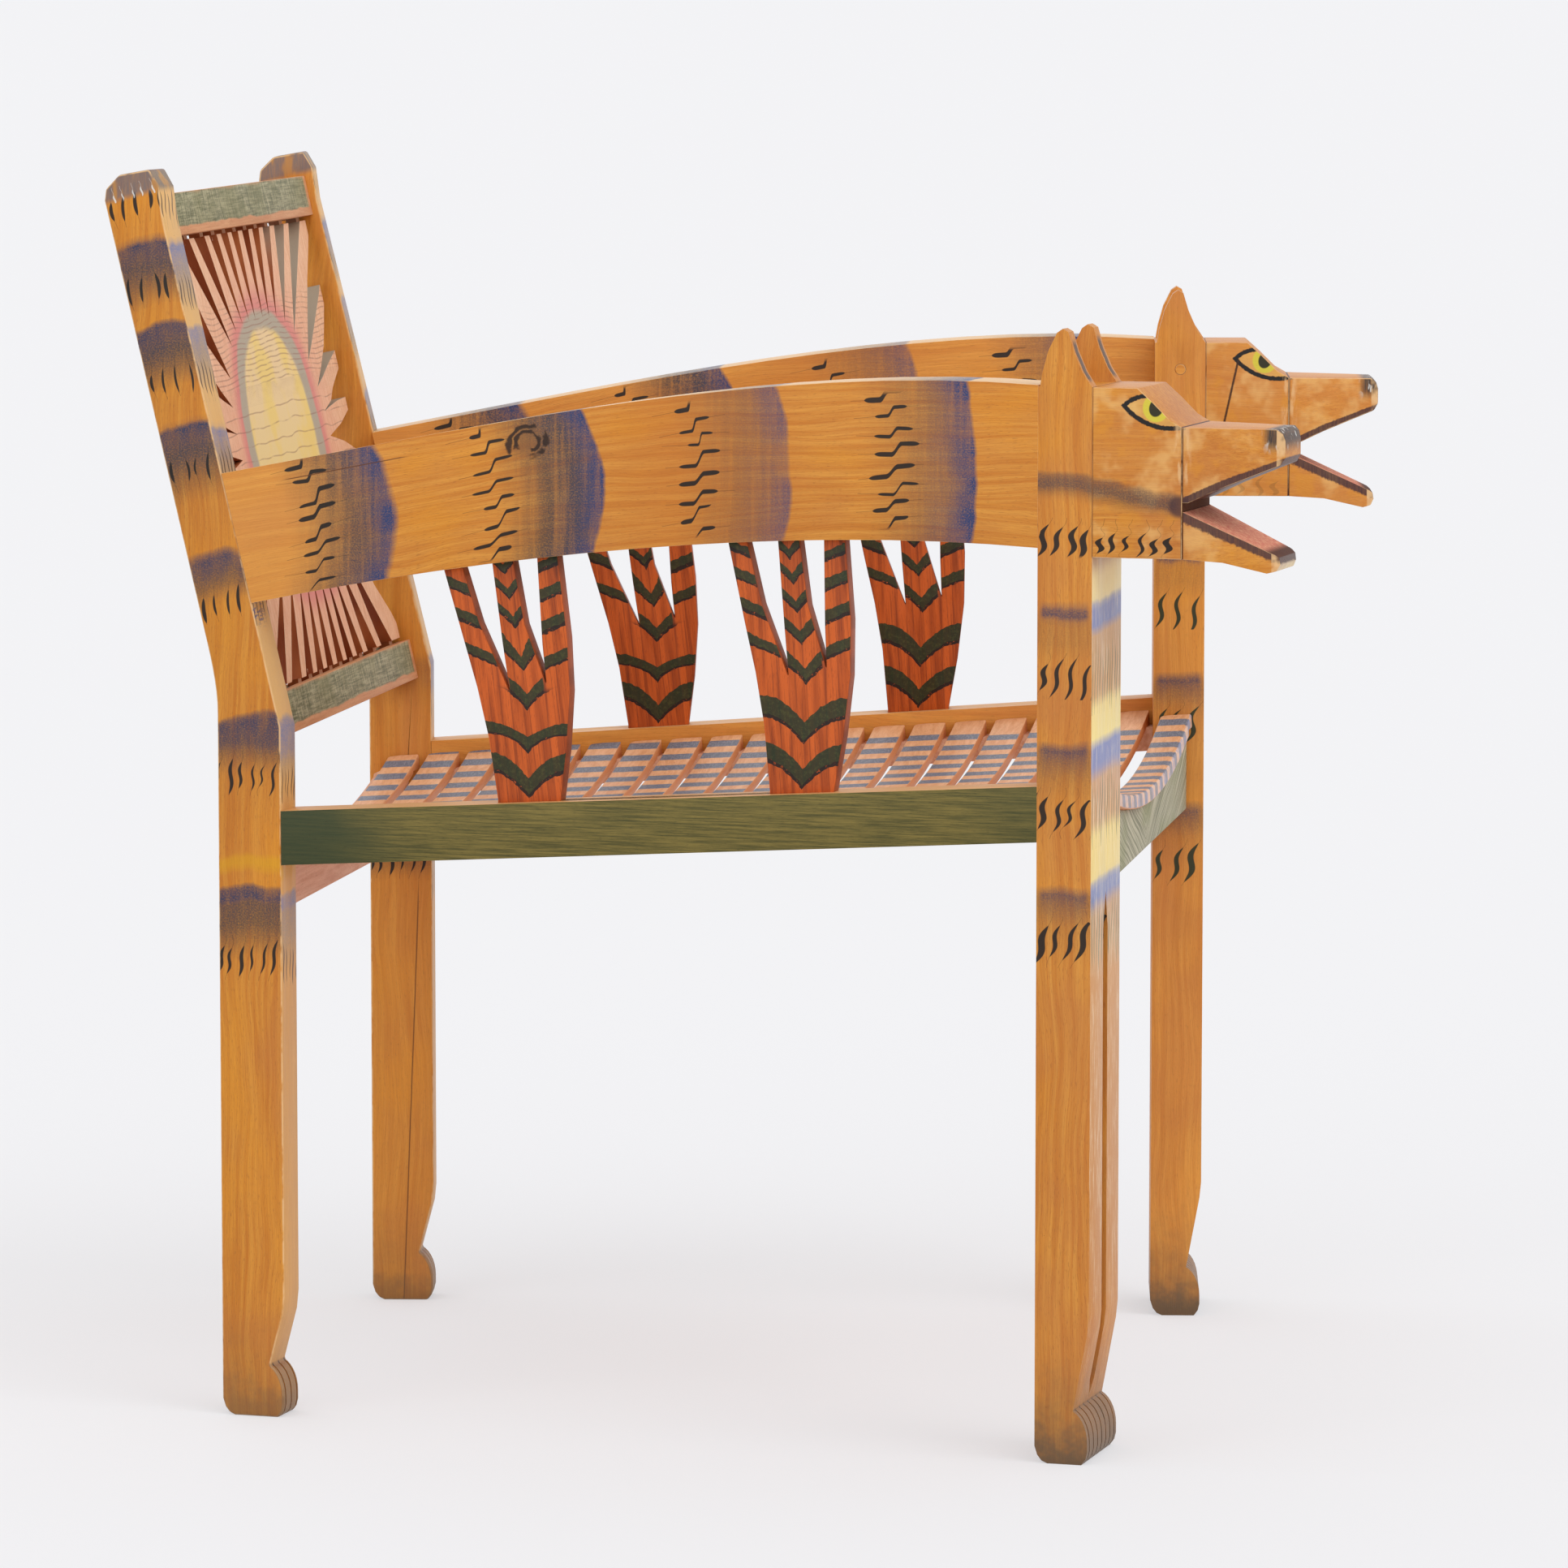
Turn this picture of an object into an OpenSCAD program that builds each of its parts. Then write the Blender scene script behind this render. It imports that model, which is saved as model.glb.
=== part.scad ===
// Animal armchair in beech: two forelegs with heads, a slatted seat and a fretwork back.
// The seat faces -Y, so the sitter's right side is at -X. Millimetres, +Z up.

/* [Plan] */
// Width across the outer faces, half way between the legs
frame_w = 584; // [564:1:604]
// Angle by which each side toes out towards the front
splay = 7.6; // [6.5:0.1:8.5]
// Length by which the run of slats passes the clear length between the legs
slat_over = 7.8; // [4:0.1:12]

/* [Rear posts] */
// Thickness of the rear posts and side rails
board_t = 30; // [28:0.5:34]
// Depth of the rear leg below the bend
rear_leg_d = 47; // [45:0.5:50]
// Height of the bend above the floor
bend_h = 488; // [480:1:496]
// Rake of the back posts
rake = 13.5; // [12.5:0.1:14.5]
// Depth of the raked post, measured level
post_d = 40.5; // [39:0.5:43]
// Height of the post tops
post_h = 875; // [865:1:885]

/* [Front legs] */
// Thickness of the front leg across the chair
leg_t = 78; // [74:1:84]
// Depth of the front leg along the side
leg_d = 38; // [36:0.5:41]
// Height of the head top, where the ears begin
head_h = 735; // [730:1:742]
// Height of the ears above the head top
ear_h = 39; // [34:1:42]
// Thickness of each ear
ear_t = 13; // [11:0.5:16]
// Width of the slot that parts the two forelegs
slot_w = 12; // [9:0.5:14]
// Height of the top of that slot
slot_top = 390; // [360:1:400]

/* [Paws] */
// Height at which a front leg starts to taper
taper_h = 102; // [90:1:120]
// Height at which a rear leg starts to taper
rear_taper_h = 86; // [76:1:100]
// Height of the ankle above the floor
ankle_h = 37; // [32:0.5:42]
// Depth by which the ankle is cut in
ankle_in = 11; // [8:0.5:13]
// Size of the heel chamfer
heel = 9; // [6:0.5:12]

/* [Heads] */
// Length of the cheek block along the side
cheek_l = 62; // [58:1:66]
// Height of the cheek block
cheek_h = 114.5; // [108:0.5:118]
// Length of the jaws in front of the cheek
jaw_l = 67; // [62:1:72]
// Drop from the head top to the top of the snout
snout_drop = 26; // [22:0.5:30]
// Width of the nose
nose_w = 50; // [44:1:58]
// Height of the front of the nose
nose_h = 25; // [22:0.5:28]
// Height of the mouth corner above the cheek bottom
mouth_h = 36; // [33:0.5:39]

/* [Rails] */
// Height of a side rail
rail_h = 38; // [36:0.5:42]
// Height of the side rail top at the rear leg
rail_top = 429.5; // [424:0.5:435]
// Slope of the seat, higher at the front
seat_tilt = 3.67; // [3:0.01:4.2]
// Thickness of the front and rear seat rails
cross_t = 22; // [20:0.5:24]
// Height of the lower edge of the front rail
front_rail_z = 385; // [378:1:390]
// Height of the lower edge of the rear rail
rear_rail_z = 352; // [345:1:358]

/* [Seat slats] */
// Number of slats behind the front one
slat_count = 19; // [18:1:19]
// Width of a slat
slat_w = 23.5; // [22:0.5:24.5]
// Distance from slat to slat
slat_pitch = 30.5; // [29.8:0.1:31.2]
// Thickness of a slat
slat_t = 7.5; // [7:0.5:10]
// Thickness of the front slat
front_slat_t = 10; // [9:0.5:12]
// Radius of a slat's corners in plan
slat_round = 3.5; // [1:0.5:5]
// Depth of the hollow across the seat
dish = 27; // [22:0.5:30]
// Drop from the rail top to the slat ends
slat_drop = 9; // [8:0.5:11]
// Width of the ledger that carries the slats
ledger_w = 20; // [18:0.5:24]

/* [Arms and balusters] */
// Thickness of the arm
arm_t = 46; // [38:0.5:50]
// Height of the arm top above the head top, at the front leg
arm_rise = 1; // [-3:0.5:4]
// Height of the arm where it meets the post
arm_rear_h = 664.5; // [660:0.5:670]
// Depth of the arm board at the front
arm_d = 110; // [104:1:114]
// Depth of the arm board at the rear
arm_rear_d = 90; // [84:1:96]
// Length over which the arm runs nearly level behind the front leg
arm_reach = 190; // [180:1:200]
// Swell of the arm above its front end
arm_swell = 12; // [9:0.5:15]
// Place of the arm's hip, behind the middle
arm_hip = 118; // [112:1:124]
// Height of the hip's pull above the rear end
arm_hip_rise = 38; // [34:1:42]
// Thickness of a baluster
bal_t = 12; // [10:0.5:14]
// Place of the front baluster, forwards of the middle
bal_front = 104; // [98:1:110]
// Place of the rear baluster, behind the middle
bal_rear = 93; // [88:1:98]
// Distance by which the balusters on the sitter's left stand further back
bal_left_set = 8; // [0:1:9]
// Depth of a baluster's foot in the rail
bal_root = 12; // [8:1:15]
// Depth of the prongs in the arm
bal_socket = 11; // [8:1:15]

/* [Back] */
// Height of the two back rails, along the rake
back_rail_h = 30; // [28:0.5:32]
// Thickness of the two back rails
back_rail_t = 22; // [20:0.5:24]
// Drop from the post top to the middle of the top rail
back_drop = 30; // [27:0.5:36]
// Angle by which the fretwork stands more upright than the posts
back_ease = 1; // [0.4:0.1:1.3]
// Set-back of the low back rail from the front of the posts
back_set = 11.5; // [10:0.5:12.5]
// Thickness of the fretwork panel
panel_t = 16; // [14:0.5:17]
// Set-back of the panel from the face of the rails
panel_set = 6; // [5:0.5:7]

/* [Joints] */
// Thickness of the tenons and tongues
tenon_t = 12; // [10:0.5:14]
// Length of the tenons
tenon_l = 18; // [15:0.5:20]
// Clearance on each side of a tenon or a dowel
fit = 0.15; // [0.1:0.01:0.25]
// Diameter of the head dowels
dowel_d = 10; // [8:0.5:12]
// Diameter of the arm pins
pin_d = 8; // [7:0.5:9]
// Diameter of the slat pins
slat_pin_d = 4; // [3:0.5:5]

/* [Hidden] */
$fn = 48;
RIGHT = -1;
LEFT = 1;
tall = 1200;
wide = 1200;

// Half of the clear length between a front leg and a rear leg, which the slats fill
half_bay = ((slat_count - 1) * slat_pitch - slat_over) / (2 * cos(splay));

// Side plane places: s runs backwards along the side, z up, n inwards from the outer face
leg_back = -half_bay;
leg_front = leg_back - leg_d;
cheek_front = leg_front - cheek_l;
nose_s = cheek_front - jaw_l;
cheek_z = head_h - cheek_h;
mouth_z = cheek_z + mouth_h;
snout_z = head_h - snout_drop;
nose_in = (leg_t - nose_w) / 2;
rear_front = half_bay;
rear_back = half_bay + rear_leg_d;
rail_slope = tan(seat_tilt) * cos(splay);
rail_top_front = rail_top + 2 * half_bay * rail_slope;
post_top_z = post_h - 22;
post_top_s = post_front(post_top_z) + post_d;
arm_h = head_h + arm_rise;
low_rear = arm_rear_h - arm_rear_d;
arm_top = curve([leg_back, arm_h], [leg_back + arm_reach, arm_h + arm_swell],
    [arm_hip, arm_rear_h + arm_hip_rise], [post_front(arm_rear_h), arm_rear_h], 16);
arm_low = curve([leg_back, arm_h - arm_d], [leg_back + arm_reach - 10, arm_h - arm_d + arm_swell],
    [arm_hip, low_rear + arm_hip_rise], [post_front(low_rear), low_rear], 16);

// Plan places
tip_round = 5;
y_front = nose_s * cos(splay) - (leg_t - nose_in - 0.6 * tip_round) * sin(splay);
y_rear = post_top_s * cos(splay);
y_mid = (y_front + y_rear) / 2;
front_rail_y = leg_back * cos(splay) - leg_t * sin(splay) - cross_t - 3;
rear_rail_y = rear_front * cos(splay) - board_t * sin(splay) + 17;
first_slat_y = rear_rail_y + 3.5;
front_slat_y = front_rail_y + slat_w / 2 - 5;
lead_y = rear_front * cos(splay) - board_t * sin(splay);

// Seat frame: the slat ends' top plane passes through rail_top - slat_drop at lead_y
seat_z = rail_top - slat_drop;
bearing = slat_t + 3.5;
arc_steps = 12;
screw_bays = [2, 9, 15];

// Back frame: y is square to the back, z runs up along the rake from the bend
back_tilt = atan(tan(rake) * cos(splay)) - back_ease;
low_mid = 7;
top_mid = (post_h - back_drop - bend_h) / cos(back_tilt);
panel_low = low_mid + back_rail_h / 2;
panel_top = top_mid - back_rail_h / 2;
tongue_l = 8;
tongue_t = 8;
ray_gap = 3;

// Half width of the chair at a plan depth y, n inside the outer face
function x_at(y, n) = frame_w / 2 - y * tan(splay) - n / cos(splay);
// Place of the post's front edge at a height
function post_front(z) = rear_front + (z - bend_h) * tan(rake);
// Height of the side rail top at s
function rail_z(s) = rail_top + (rear_front - s) * rail_slope;
// Point t of a cubic curve
function curve_at(a, b, c, d, t) =
    a * pow(1 - t, 3) + b * 3 * t * pow(1 - t, 2) + c * 3 * t * t * (1 - t) + d * pow(t, 3);
// Points along a cubic curve
function curve(a, b, c, d, n = 12) = [for (i = [0 : n]) curve_at(a, b, c, d, i / n)];
// Depth of a slat's middle place, counted from the rear
function slat_y(i) = i < slat_count ? first_slat_y - i * slat_pitch : front_slat_y;
// Half length of a slat, which stands between the rails or between the front legs
function slat_half(y) = y > leg_back * cos(splay) - 5 ? x_at(y, board_t) - 1.5 : x_at(y, leg_t) - 1;
// Radius of the hollow of a slat
function dish_r(half) = (half * half + dish * dish) / (2 * dish);

// Chair frame: the part's origin is under the middle of its bounding box
module chair() {
    translate([0, -y_mid, 0]) children();
}

// Side frame: x is s, y is height, z is n
module side(hand) {
    mirror([hand > 0 ? 1 : 0, 0, 0])
        translate([-frame_w / 2, -y_mid, 0])
        rotate([0, 0, 90 - splay])
        rotate([90, 0, 0])
        children();
}

// Seat frame: x across, y backwards along the seat, z square to the slat ends' top plane
module seat() {
    chair() translate([0, lead_y, seat_z]) rotate([-seat_tilt, 0, 0]) translate([0, -lead_y, 0]) children();
}

// Back frame: x across, y backwards, z up along the rake
module back() {
    chair() translate([0, lead_y, bend_h]) rotate([-back_tilt, 0, 0]) children();
}

// Board of thickness t with its outer face n inside the side
module board(n, t) {
    translate([0, 0, n]) linear_extrude(t) children();
}

// Upright prism between the two planes that lie n inside the outer faces
module between(y0, y1, n) {
    chair() linear_extrude(tall)
        polygon([[-x_at(y0, n), y0], [x_at(y0, n), y0], [x_at(y1, n), y1], [-x_at(y1, n), y1]]);
}

// Paw outline from the heel to the start of the taper, with a rounded toe
function paw(front, rear, top) = concat(
    [
        [rear, heel * 1.3], [rear - 0.22 * heel, heel * 0.62], [rear - 0.55 * heel, heel * 0.2],
        [rear - heel, 0], [front + 5, 0], [front + 2, 4], [front + 0.8, 9]
    ],
    [for (a = [0 : 10 : 70]) [
        front + 0.8 + (ankle_in - 0.8) * (1 - cos(a)) / (1 - cos(70)),
        15 + (ankle_h - 15) * sin(a) / sin(70)
    ]],
    [[front + 1.2, top - 12], [front, top]]
);

module rear_post_outline() {
    bend = curve([rear_back, bend_h + 8], [rear_back, bend_h + 30], [post_front(bend_h + 50) + post_d, bend_h + 50],
        [post_front(bend_h + 80) + post_d, bend_h + 80], 8);
    top_front = post_front(post_h - 35);
    polygon(concat(
        paw(rear_front, rear_back, rear_taper_h),
        [
            [rear_front, bend_h],
            [top_front, post_h - 35],
            [top_front + 3, post_h - 12],
            [top_front + 10, post_h],
            [post_top_s - 11, post_h - 4],
            [post_top_s - 1, post_h - 14],
            [post_top_s, post_top_z]
        ],
        [for (i = [len(bend) - 1 : -1 : 0]) bend[i]]
    ));
}

// Tenon of a side rail or an arm, c larger than the piece all round
module side_tenons(c) {
    z_rear = rail_z(rear_front) - rail_h;
    z_front = rail_top_front - rail_h;
    board((board_t - tenon_t) / 2 - c, tenon_t + 2 * c) {
        polygon([
            [rear_front - 1, z_rear + 6 - c], [rear_front + tenon_l + c * 6, z_rear + 6 - c],
            [rear_front + tenon_l + c * 6, z_rear + rail_h - 6 + c], [rear_front - 1, z_rear + rail_h - 6 + c]
        ]);
        polygon([
            [leg_back + 1, z_front + 6 - c], [leg_back - tenon_l - c * 6, z_front + 6 - c],
            [leg_back - tenon_l - c * 6, z_front + rail_h - 6 + c], [leg_back + 1, z_front + rail_h - 6 + c]
        ]);
    }
}

module arm_tenons(c) {
    low = arm_rear_h - 74 - c;
    high = arm_rear_h - 20 + c;
    board((board_t - tenon_t) / 2 - c, tenon_t + 2 * c) {
        polygon([
            [post_front(low) - 1, low], [post_front(low) + tenon_l + c * 6, low],
            [post_front(high) + tenon_l + c * 6, high], [post_front(high) - 1, high]
        ]);
        polygon([
            [leg_back + 1, arm_h - 90 - c], [leg_back - 2 * leg_d / 3 - c * 6, arm_h - 90 - c],
            [leg_back - 2 * leg_d / 3 - c * 6, arm_h - 12 + c], [leg_back + 1, arm_h - 12 + c]
        ]);
    }
}

// Tenons of the four cross rails, c larger than the piece all round
module cross_tenon(y, z, h, n, c) {
    difference() {
        intersection() {
            between(y + (cross_t - tenon_t) / 2 - c, y + (cross_t + tenon_t) / 2 + c, n - tenon_l - c * 6);
            chair() translate([-wide / 2, y, z - c]) cube([wide, cross_t, h + 2 * c]);
        }
        between(y - cross_t, y + 2 * cross_t, n + 10);
    }
}

module front_tenon(c) {
    cross_tenon(front_rail_y, front_rail_z + 5, 36, leg_t, c);
}

module rear_tenon(c) {
    cross_tenon(rear_rail_y, rear_rail_z + 5, 34, board_t, c);
}

module seat_tenons(c) {
    front_tenon(c);
    rear_tenon(c);
}

module back_tenon(mid, c) {
    y0 = back_set + (back_rail_t - tenon_t) / 2 - c;
    intersection() {
        between(0, tall, board_t - tenon_l - c * 6);
        back() translate([-wide / 2, y0, mid - back_rail_h / 2 + 4 - c])
            cube([wide, tenon_t + 2 * c, back_rail_h - 8 + 2 * c]);
    }
}

module back_tenons(c) {
    back_tenon(low_mid, c);
    back_tenon(top_mid, c);
}

module rear_post(hand) {
    color("#c98b3f") difference() {
        side(hand) board(0, board_t) rear_post_outline();
        side(hand) side_tenons(fit);
        side(hand) arm_tenons(fit);
        seat_tenons(fit);
        back_tenons(fit);
    }
}

// Ear outline, from its rear foot over the tip to its front foot
module ear_outline() {
    polygon([
        [leg_back - 1, head_h - 2],
        [leg_back - 3, head_h + 0.25 * ear_h],
        [leg_back - 7, head_h + 0.62 * ear_h],
        [leg_back - 13, head_h + 0.93 * ear_h],
        [leg_back - 17, head_h + ear_h],
        [leg_back - 21, head_h + 0.94 * ear_h],
        [leg_back - 25, head_h + 0.6 * ear_h],
        [leg_back - 31, head_h + 0.25 * ear_h],
        [leg_front + 0.5, head_h - 0.01],
        [leg_front + 0.5, head_h - 2]
    ]);
}

// Slot between the two forelegs, pointed at the top
module foreleg_slot() {
    mid = leg_t / 2 + 1;
    translate([leg_front - 5, 0, 0]) rotate([0, 90, 0]) linear_extrude(leg_d + 10)
        polygon([
            [-mid, ankle_h + 3], [-mid - slot_w / 2, ankle_h + 16],
            [-mid - slot_w / 2, slot_top - 25], [-mid, slot_top],
            [-mid + slot_w / 2, slot_top - 25], [-mid + slot_w / 2, ankle_h + 16]
        ]);
}

// Pin that crosses the front leg and the arm tenon from the inner face
module arm_pin(hand, c) {
    side(hand) translate([leg_back - leg_d / 2, head_h - 20, board_t / 2 - tenon_t / 2 - 4 - c])
        cylinder(d = pin_d + 2 * c, h = leg_t - board_t / 2 + tenon_t / 2 + 4 + (c > 0 ? 1 : 0) + c);
}

// Dowels that hold a cheek to the leg and the jaws to the cheek
module head_dowel_set(hand, c) {
    places = [
        [leg_front, cheek_z + 0.22 * cheek_h, 26],
        [leg_front, head_h - 0.22 * cheek_h, 52],
        [cheek_front, snout_z - 14, leg_t / 2],
        [cheek_front, cheek_z + mouth_h / 2, leg_t / 2]
    ];
    side(hand) for (p = places)
        translate([p[0] - 11 - c, p[1], p[2]]) rotate([0, 90, 0])
            cylinder(d = dowel_d + 2 * c, h = 22 + 2 * c);
}

module front_leg(hand) {
    color("#c98b3f") difference() {
        side(hand) {
            board(0, leg_t)
                polygon(concat(paw(leg_front, leg_back, taper_h), [[leg_front, head_h], [leg_back, head_h]]));
            board(0, ear_t) ear_outline();
            board(leg_t - ear_t, ear_t) ear_outline();
        }
        side(hand) foreleg_slot();
        side(hand) side_tenons(fit);
        side(hand) arm_tenons(fit);
        seat_tenons(fit);
        arm_pin(hand, fit);
        head_dowel_set(hand, fit);
    }
}

module cheek(hand) {
    color("#cc9045") difference() {
        side(hand) board(0, leg_t) polygon([
            [leg_front, cheek_z], [leg_front, head_h], [leg_front - 0.5 * cheek_l, head_h],
            [leg_front - 0.68 * cheek_l, head_h - 10], [leg_front - 0.86 * cheek_l, snout_z + 5],
            [cheek_front, snout_z], [cheek_front, cheek_z]
        ]);
        head_dowel_set(hand, fit);
    }
}

// Plan of a jaw that narrows from the cheek to its tip
module jaw_plan(z_top, deep, root_in, tip_in, r) {
    translate([0, z_top, 0]) rotate([90, 0, 0]) linear_extrude(deep) polygon([
        [cheek_front, root_in], [nose_s + r, tip_in - r * 0.3], [nose_s, tip_in + r * 0.6],
        [nose_s, leg_t - tip_in - r * 0.6], [nose_s + r, leg_t - tip_in + r * 0.3],
        [cheek_front, leg_t - root_in]
    ]);
}

module upper_jaw(hand) {
    color("#cc9045") difference() {
        side(hand) intersection() {
            board(0, leg_t) polygon([
                [cheek_front, mouth_z + 2], [cheek_front, snout_z], [nose_s + 5, snout_z - 1],
                [nose_s + 1.5, snout_z - 4], [nose_s, snout_z - 9], [nose_s, snout_z - nose_h + 5],
                [nose_s + 3, snout_z - nose_h],
                [nose_s + 0.62 * jaw_l, mouth_z + 12], [cheek_front - 4, mouth_z + 2]
            ]);
            jaw_plan(snout_z + 1, 80, 0, nose_in, tip_round);
        }
        head_dowel_set(hand, fit);
    }
}

module lower_jaw(hand) {
    color("#cc9045") difference() {
        side(hand) intersection() {
            board(0, leg_t) polygon([
                [cheek_front, cheek_z], [cheek_front, mouth_z - 4], [nose_s + 6, cheek_z + 3.6],
                [nose_s + 3.5, cheek_z + 1.5], [nose_s + 2.8, cheek_z - 3], [nose_s + 5, cheek_z - 7.5],
                [nose_s + 11, cheek_z - 9], [nose_s + 0.6 * jaw_l, cheek_z - 2]
            ]);
            jaw_plan(mouth_z, 80, 1, nose_in, 8);
        }
        head_dowel_set(hand, fit);
    }
}

module arm_outline() {
    polygon(concat(arm_top, [for (i = [16 : -1 : 0]) arm_low[i]]));
}

module arm(hand) {
    color("#c98b3f") difference() {
        side(hand) {
            board(0, arm_t) arm_outline();
            arm_tenons(0);
        }
        arm_pin(hand, fit);
        side(hand) baluster_pair(hand, fit);
    }
}

module side_rail(hand) {
    color("#6d6a3a") difference() {
        side(hand) {
            board(0, board_t) polygon([
                [rear_front, rail_top - rail_h], [rear_front, rail_top],
                [leg_back, rail_top_front], [leg_back, rail_top_front - rail_h]
            ]);
            side_tenons(0);
        }
        side(hand) baluster_pair(hand, fit);
        screw_set(hand, fit);
    }
}

// Three-pronged baluster outline: a foot deep in the rail and prongs that reach into the arm
module baluster_outline(s, lean, c) {
    function meet(x) = lookup(s + lean + x, arm_low) - rail_z(s) - 1;
    // The heights below are drawn for an arm that stands 170 above the rail
    drawn = 170;
    k = meet(0) / drawn;
    function p(x, h) = [x + lean * h / drawn, h * k];
    function tip(x) = [x + lean, meet(x) + bal_socket + c];
    polygon([
        [-23 - c, -bal_root], [23 + c, -bal_root], p(23 + c, 0), p(24.5 + c, 45), p(28.5 + c, 80),
        p(34 + c, 112), tip(45 + c), tip(31.5 - c), p(21, 126), p(5, 78), p(6, 112), tip(8 + c),
        tip(-7 - c), p(-12, 126), p(-22.5, 84), p(-23, 112), tip(-25.5 + c), tip(-40 - c),
        p(-42 - c, 117), p(-39.3 - c, 79), p(-32 - c, 38), p(-23 - c, 0)
    ]);
}

module one_baluster(hand, s, lean, c) {
    at = s + (hand == LEFT ? bal_left_set : 0);
    translate([at, rail_z(at) + 1, 0]) board(board_t / 2 - bal_t / 2 - c, bal_t + 2 * c)
        baluster_outline(at, lean, c);
}

module baluster_pair(hand, c) {
    one_baluster(hand, -bal_front, 10, c);
    one_baluster(hand, bal_rear, 20, c);
}

module baluster_front(hand) {
    color("#b5602c") side(hand) one_baluster(hand, -bal_front, 10, 0);
}

module baluster_rear(hand) {
    color("#b5602c") side(hand) one_baluster(hand, bal_rear, 20, 0);
}

// Thickness of slat i
function thick(i) = i < slat_count ? slat_t : front_slat_t;
// Height of a slat's upper face at x, and of its lower face when it is t thick, in the seat frame
function slat_top(x, half) = let (r = dish_r(half)) r - dish - sqrt(r * r - x * x);
function slat_low(x, half, t) = let (r = dish_r(half) + t) r - t - dish - sqrt(r * r - x * x);
// Underside of a slat from its right end to its left end, with a level seat cut at both ends
function slat_under(half, t) = let (x = half - ledger_w - 3) concat(
    [[half, -bearing], [x, -bearing]],
    [for (i = [arc_steps : -1 : -arc_steps]) [x * i / arc_steps, slat_low(x * i / arc_steps, half, t)]],
    [[-x, -bearing], [-half, -bearing]]
);

module slat_outline(half, t) {
    top = [for (i = [-arc_steps : arc_steps]) [half * i / arc_steps, slat_top(half * i / arc_steps, half)]];
    polygon(concat(slat_under(half, t), top));
}

// Plan of a slat with eased corners, its ends n inside the outer faces
module slat_plan(y, n) {
    r = slat_round;
    y0 = y - slat_w / 2;
    y1 = y + slat_w / 2;
    right = [
        [x_at(y0, n) - r, y0], [x_at(y0, n) - 0.3 * r, y0 + 0.3 * r], [x_at(y0, n), y0 + r],
        [x_at(y1, n), y1 - r], [x_at(y1, n) - 0.3 * r, y1 - 0.3 * r], [x_at(y1, n) - r, y1]
    ];
    polygon(concat(right, [for (i = [5 : -1 : 0]) [-right[i][0], right[i][1]]]));
}

module slat(i) {
    y = slat_y(i);
    half = slat_half(y);
    end_n = y > leg_back * cos(splay) - 5 ? board_t + 1 : leg_t + 0.5;
    color("#cf9a6c") difference() {
        seat() intersection() {
            translate([0, y + slat_w / 2, 0]) rotate([90, 0, 0]) linear_extrude(slat_w)
                slat_outline(half, thick(i));
            translate([0, 0, -wide / 4]) linear_extrude(wide / 2) slat_plan(y, end_n);
        }
        if (i > 0 && i < slat_count) slat_pin_pair(i, fit);
    }
}

module slat_pin_pair(i, c) {
    y = slat_y(i);
    x = x_at(y, board_t + ledger_w / 2);
    seat() for (side_x = [-x, x])
        translate([side_x, y, -bearing - 10 - (c > 0 ? 10 : 0)])
            cylinder(d = slat_pin_d + 2 * c, h = 14 + (c > 0 ? 10 : 0), $fn = 24);
}

module ledger(hand) {
    color("#c8914f") difference() {
        intersection() {
            side(hand) board(board_t, ledger_w) polygon([
                [rear_front - 1, rail_top - rail_h], [rear_front - 1, rail_top], [leg_back, rail_top_front],
                [leg_back, rail_top_front - rail_h]
            ]);
            seat() translate([-wide / 2, -wide / 2, -bearing - 60]) cube([wide, wide, 60]);
        }
        for (i = [1 : slat_count - 1]) slat_pin_pair(i, fit);
        screw_set(hand, fit);
    }
}

// Place along the side of the gap in front of slat i
function bay_s(i) = (slat_y(i) - slat_pitch / 2 + (board_t + ledger_w / 2) * sin(splay)) / cos(splay);

// Screws that hold a ledger to its rail, driven from the inside
module screw_set(hand, c) {
    z_in = rail_h - slat_drop - bearing;
    side(hand) for (i = screw_bays)
        translate([bay_s(i), rail_z(bay_s(i)) - rail_h + z_in / 2, board_t + ledger_w]) {
            translate([0, 0, -36 - c]) cylinder(d = 4 + 2 * c, h = 36 + 2 * c, $fn = 24);
            translate([0, 0, -2.6 - c]) cylinder(d1 = 4 + 2 * c, d2 = 8 + 2 * c, h = 2.6 + c, $fn = 24);
        }
}

// Seat cross rail whose top follows the underside of the slat above it
module seat_cross_rail(y, z, n, slat_index) {
    half = slat_half(slat_y(slat_index));
    intersection() {
        between(y, y + cross_t, n);
        chair() translate([-wide / 2, y, z]) cube([wide, cross_t, 120]);
        seat() translate([0, y + 2 * cross_t, 0]) rotate([90, 0, 0]) linear_extrude(4 * cross_t)
            polygon(concat([[-wide / 2, -120], [wide / 2, -120], [wide / 2, -bearing]],
                slat_under(half, thick(slat_index)), [[-wide / 2, -bearing]]));
    }
}

module front_rail() {
    color("#96997f") union() {
        seat_cross_rail(front_rail_y, front_rail_z, leg_t, slat_count);
        front_tenon(0);
    }
}

module rear_rail() {
    color("#d4a077") union() {
        seat_cross_rail(rear_rail_y, rear_rail_z, board_t, 0);
        rear_tenon(0);
    }
}

module back_rail(mid) {
    color("#87905f") difference() {
        union() {
            intersection() {
                between(0, tall, board_t);
                back() translate([-wide / 2, back_set, mid - back_rail_h / 2])
                    cube([wide, back_rail_t, back_rail_h]);
            }
            back_tenon(mid, 0);
        }
        back() translate([-wide / 2, back_set + panel_set + (panel_t - tongue_t) / 2 - fit,
            mid < (low_mid + top_mid) / 2 ? panel_low - tongue_l : panel_top - 1])
            cube([wide, tongue_t + 2 * fit, tongue_l + 1]);
    }
}

// Panel heights are drawn for a panel that runs from 22 to 350.5 and follow the rails
function up(h) = panel_low + (h - 22) / 328.5 * (panel_top - panel_low);

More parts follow.
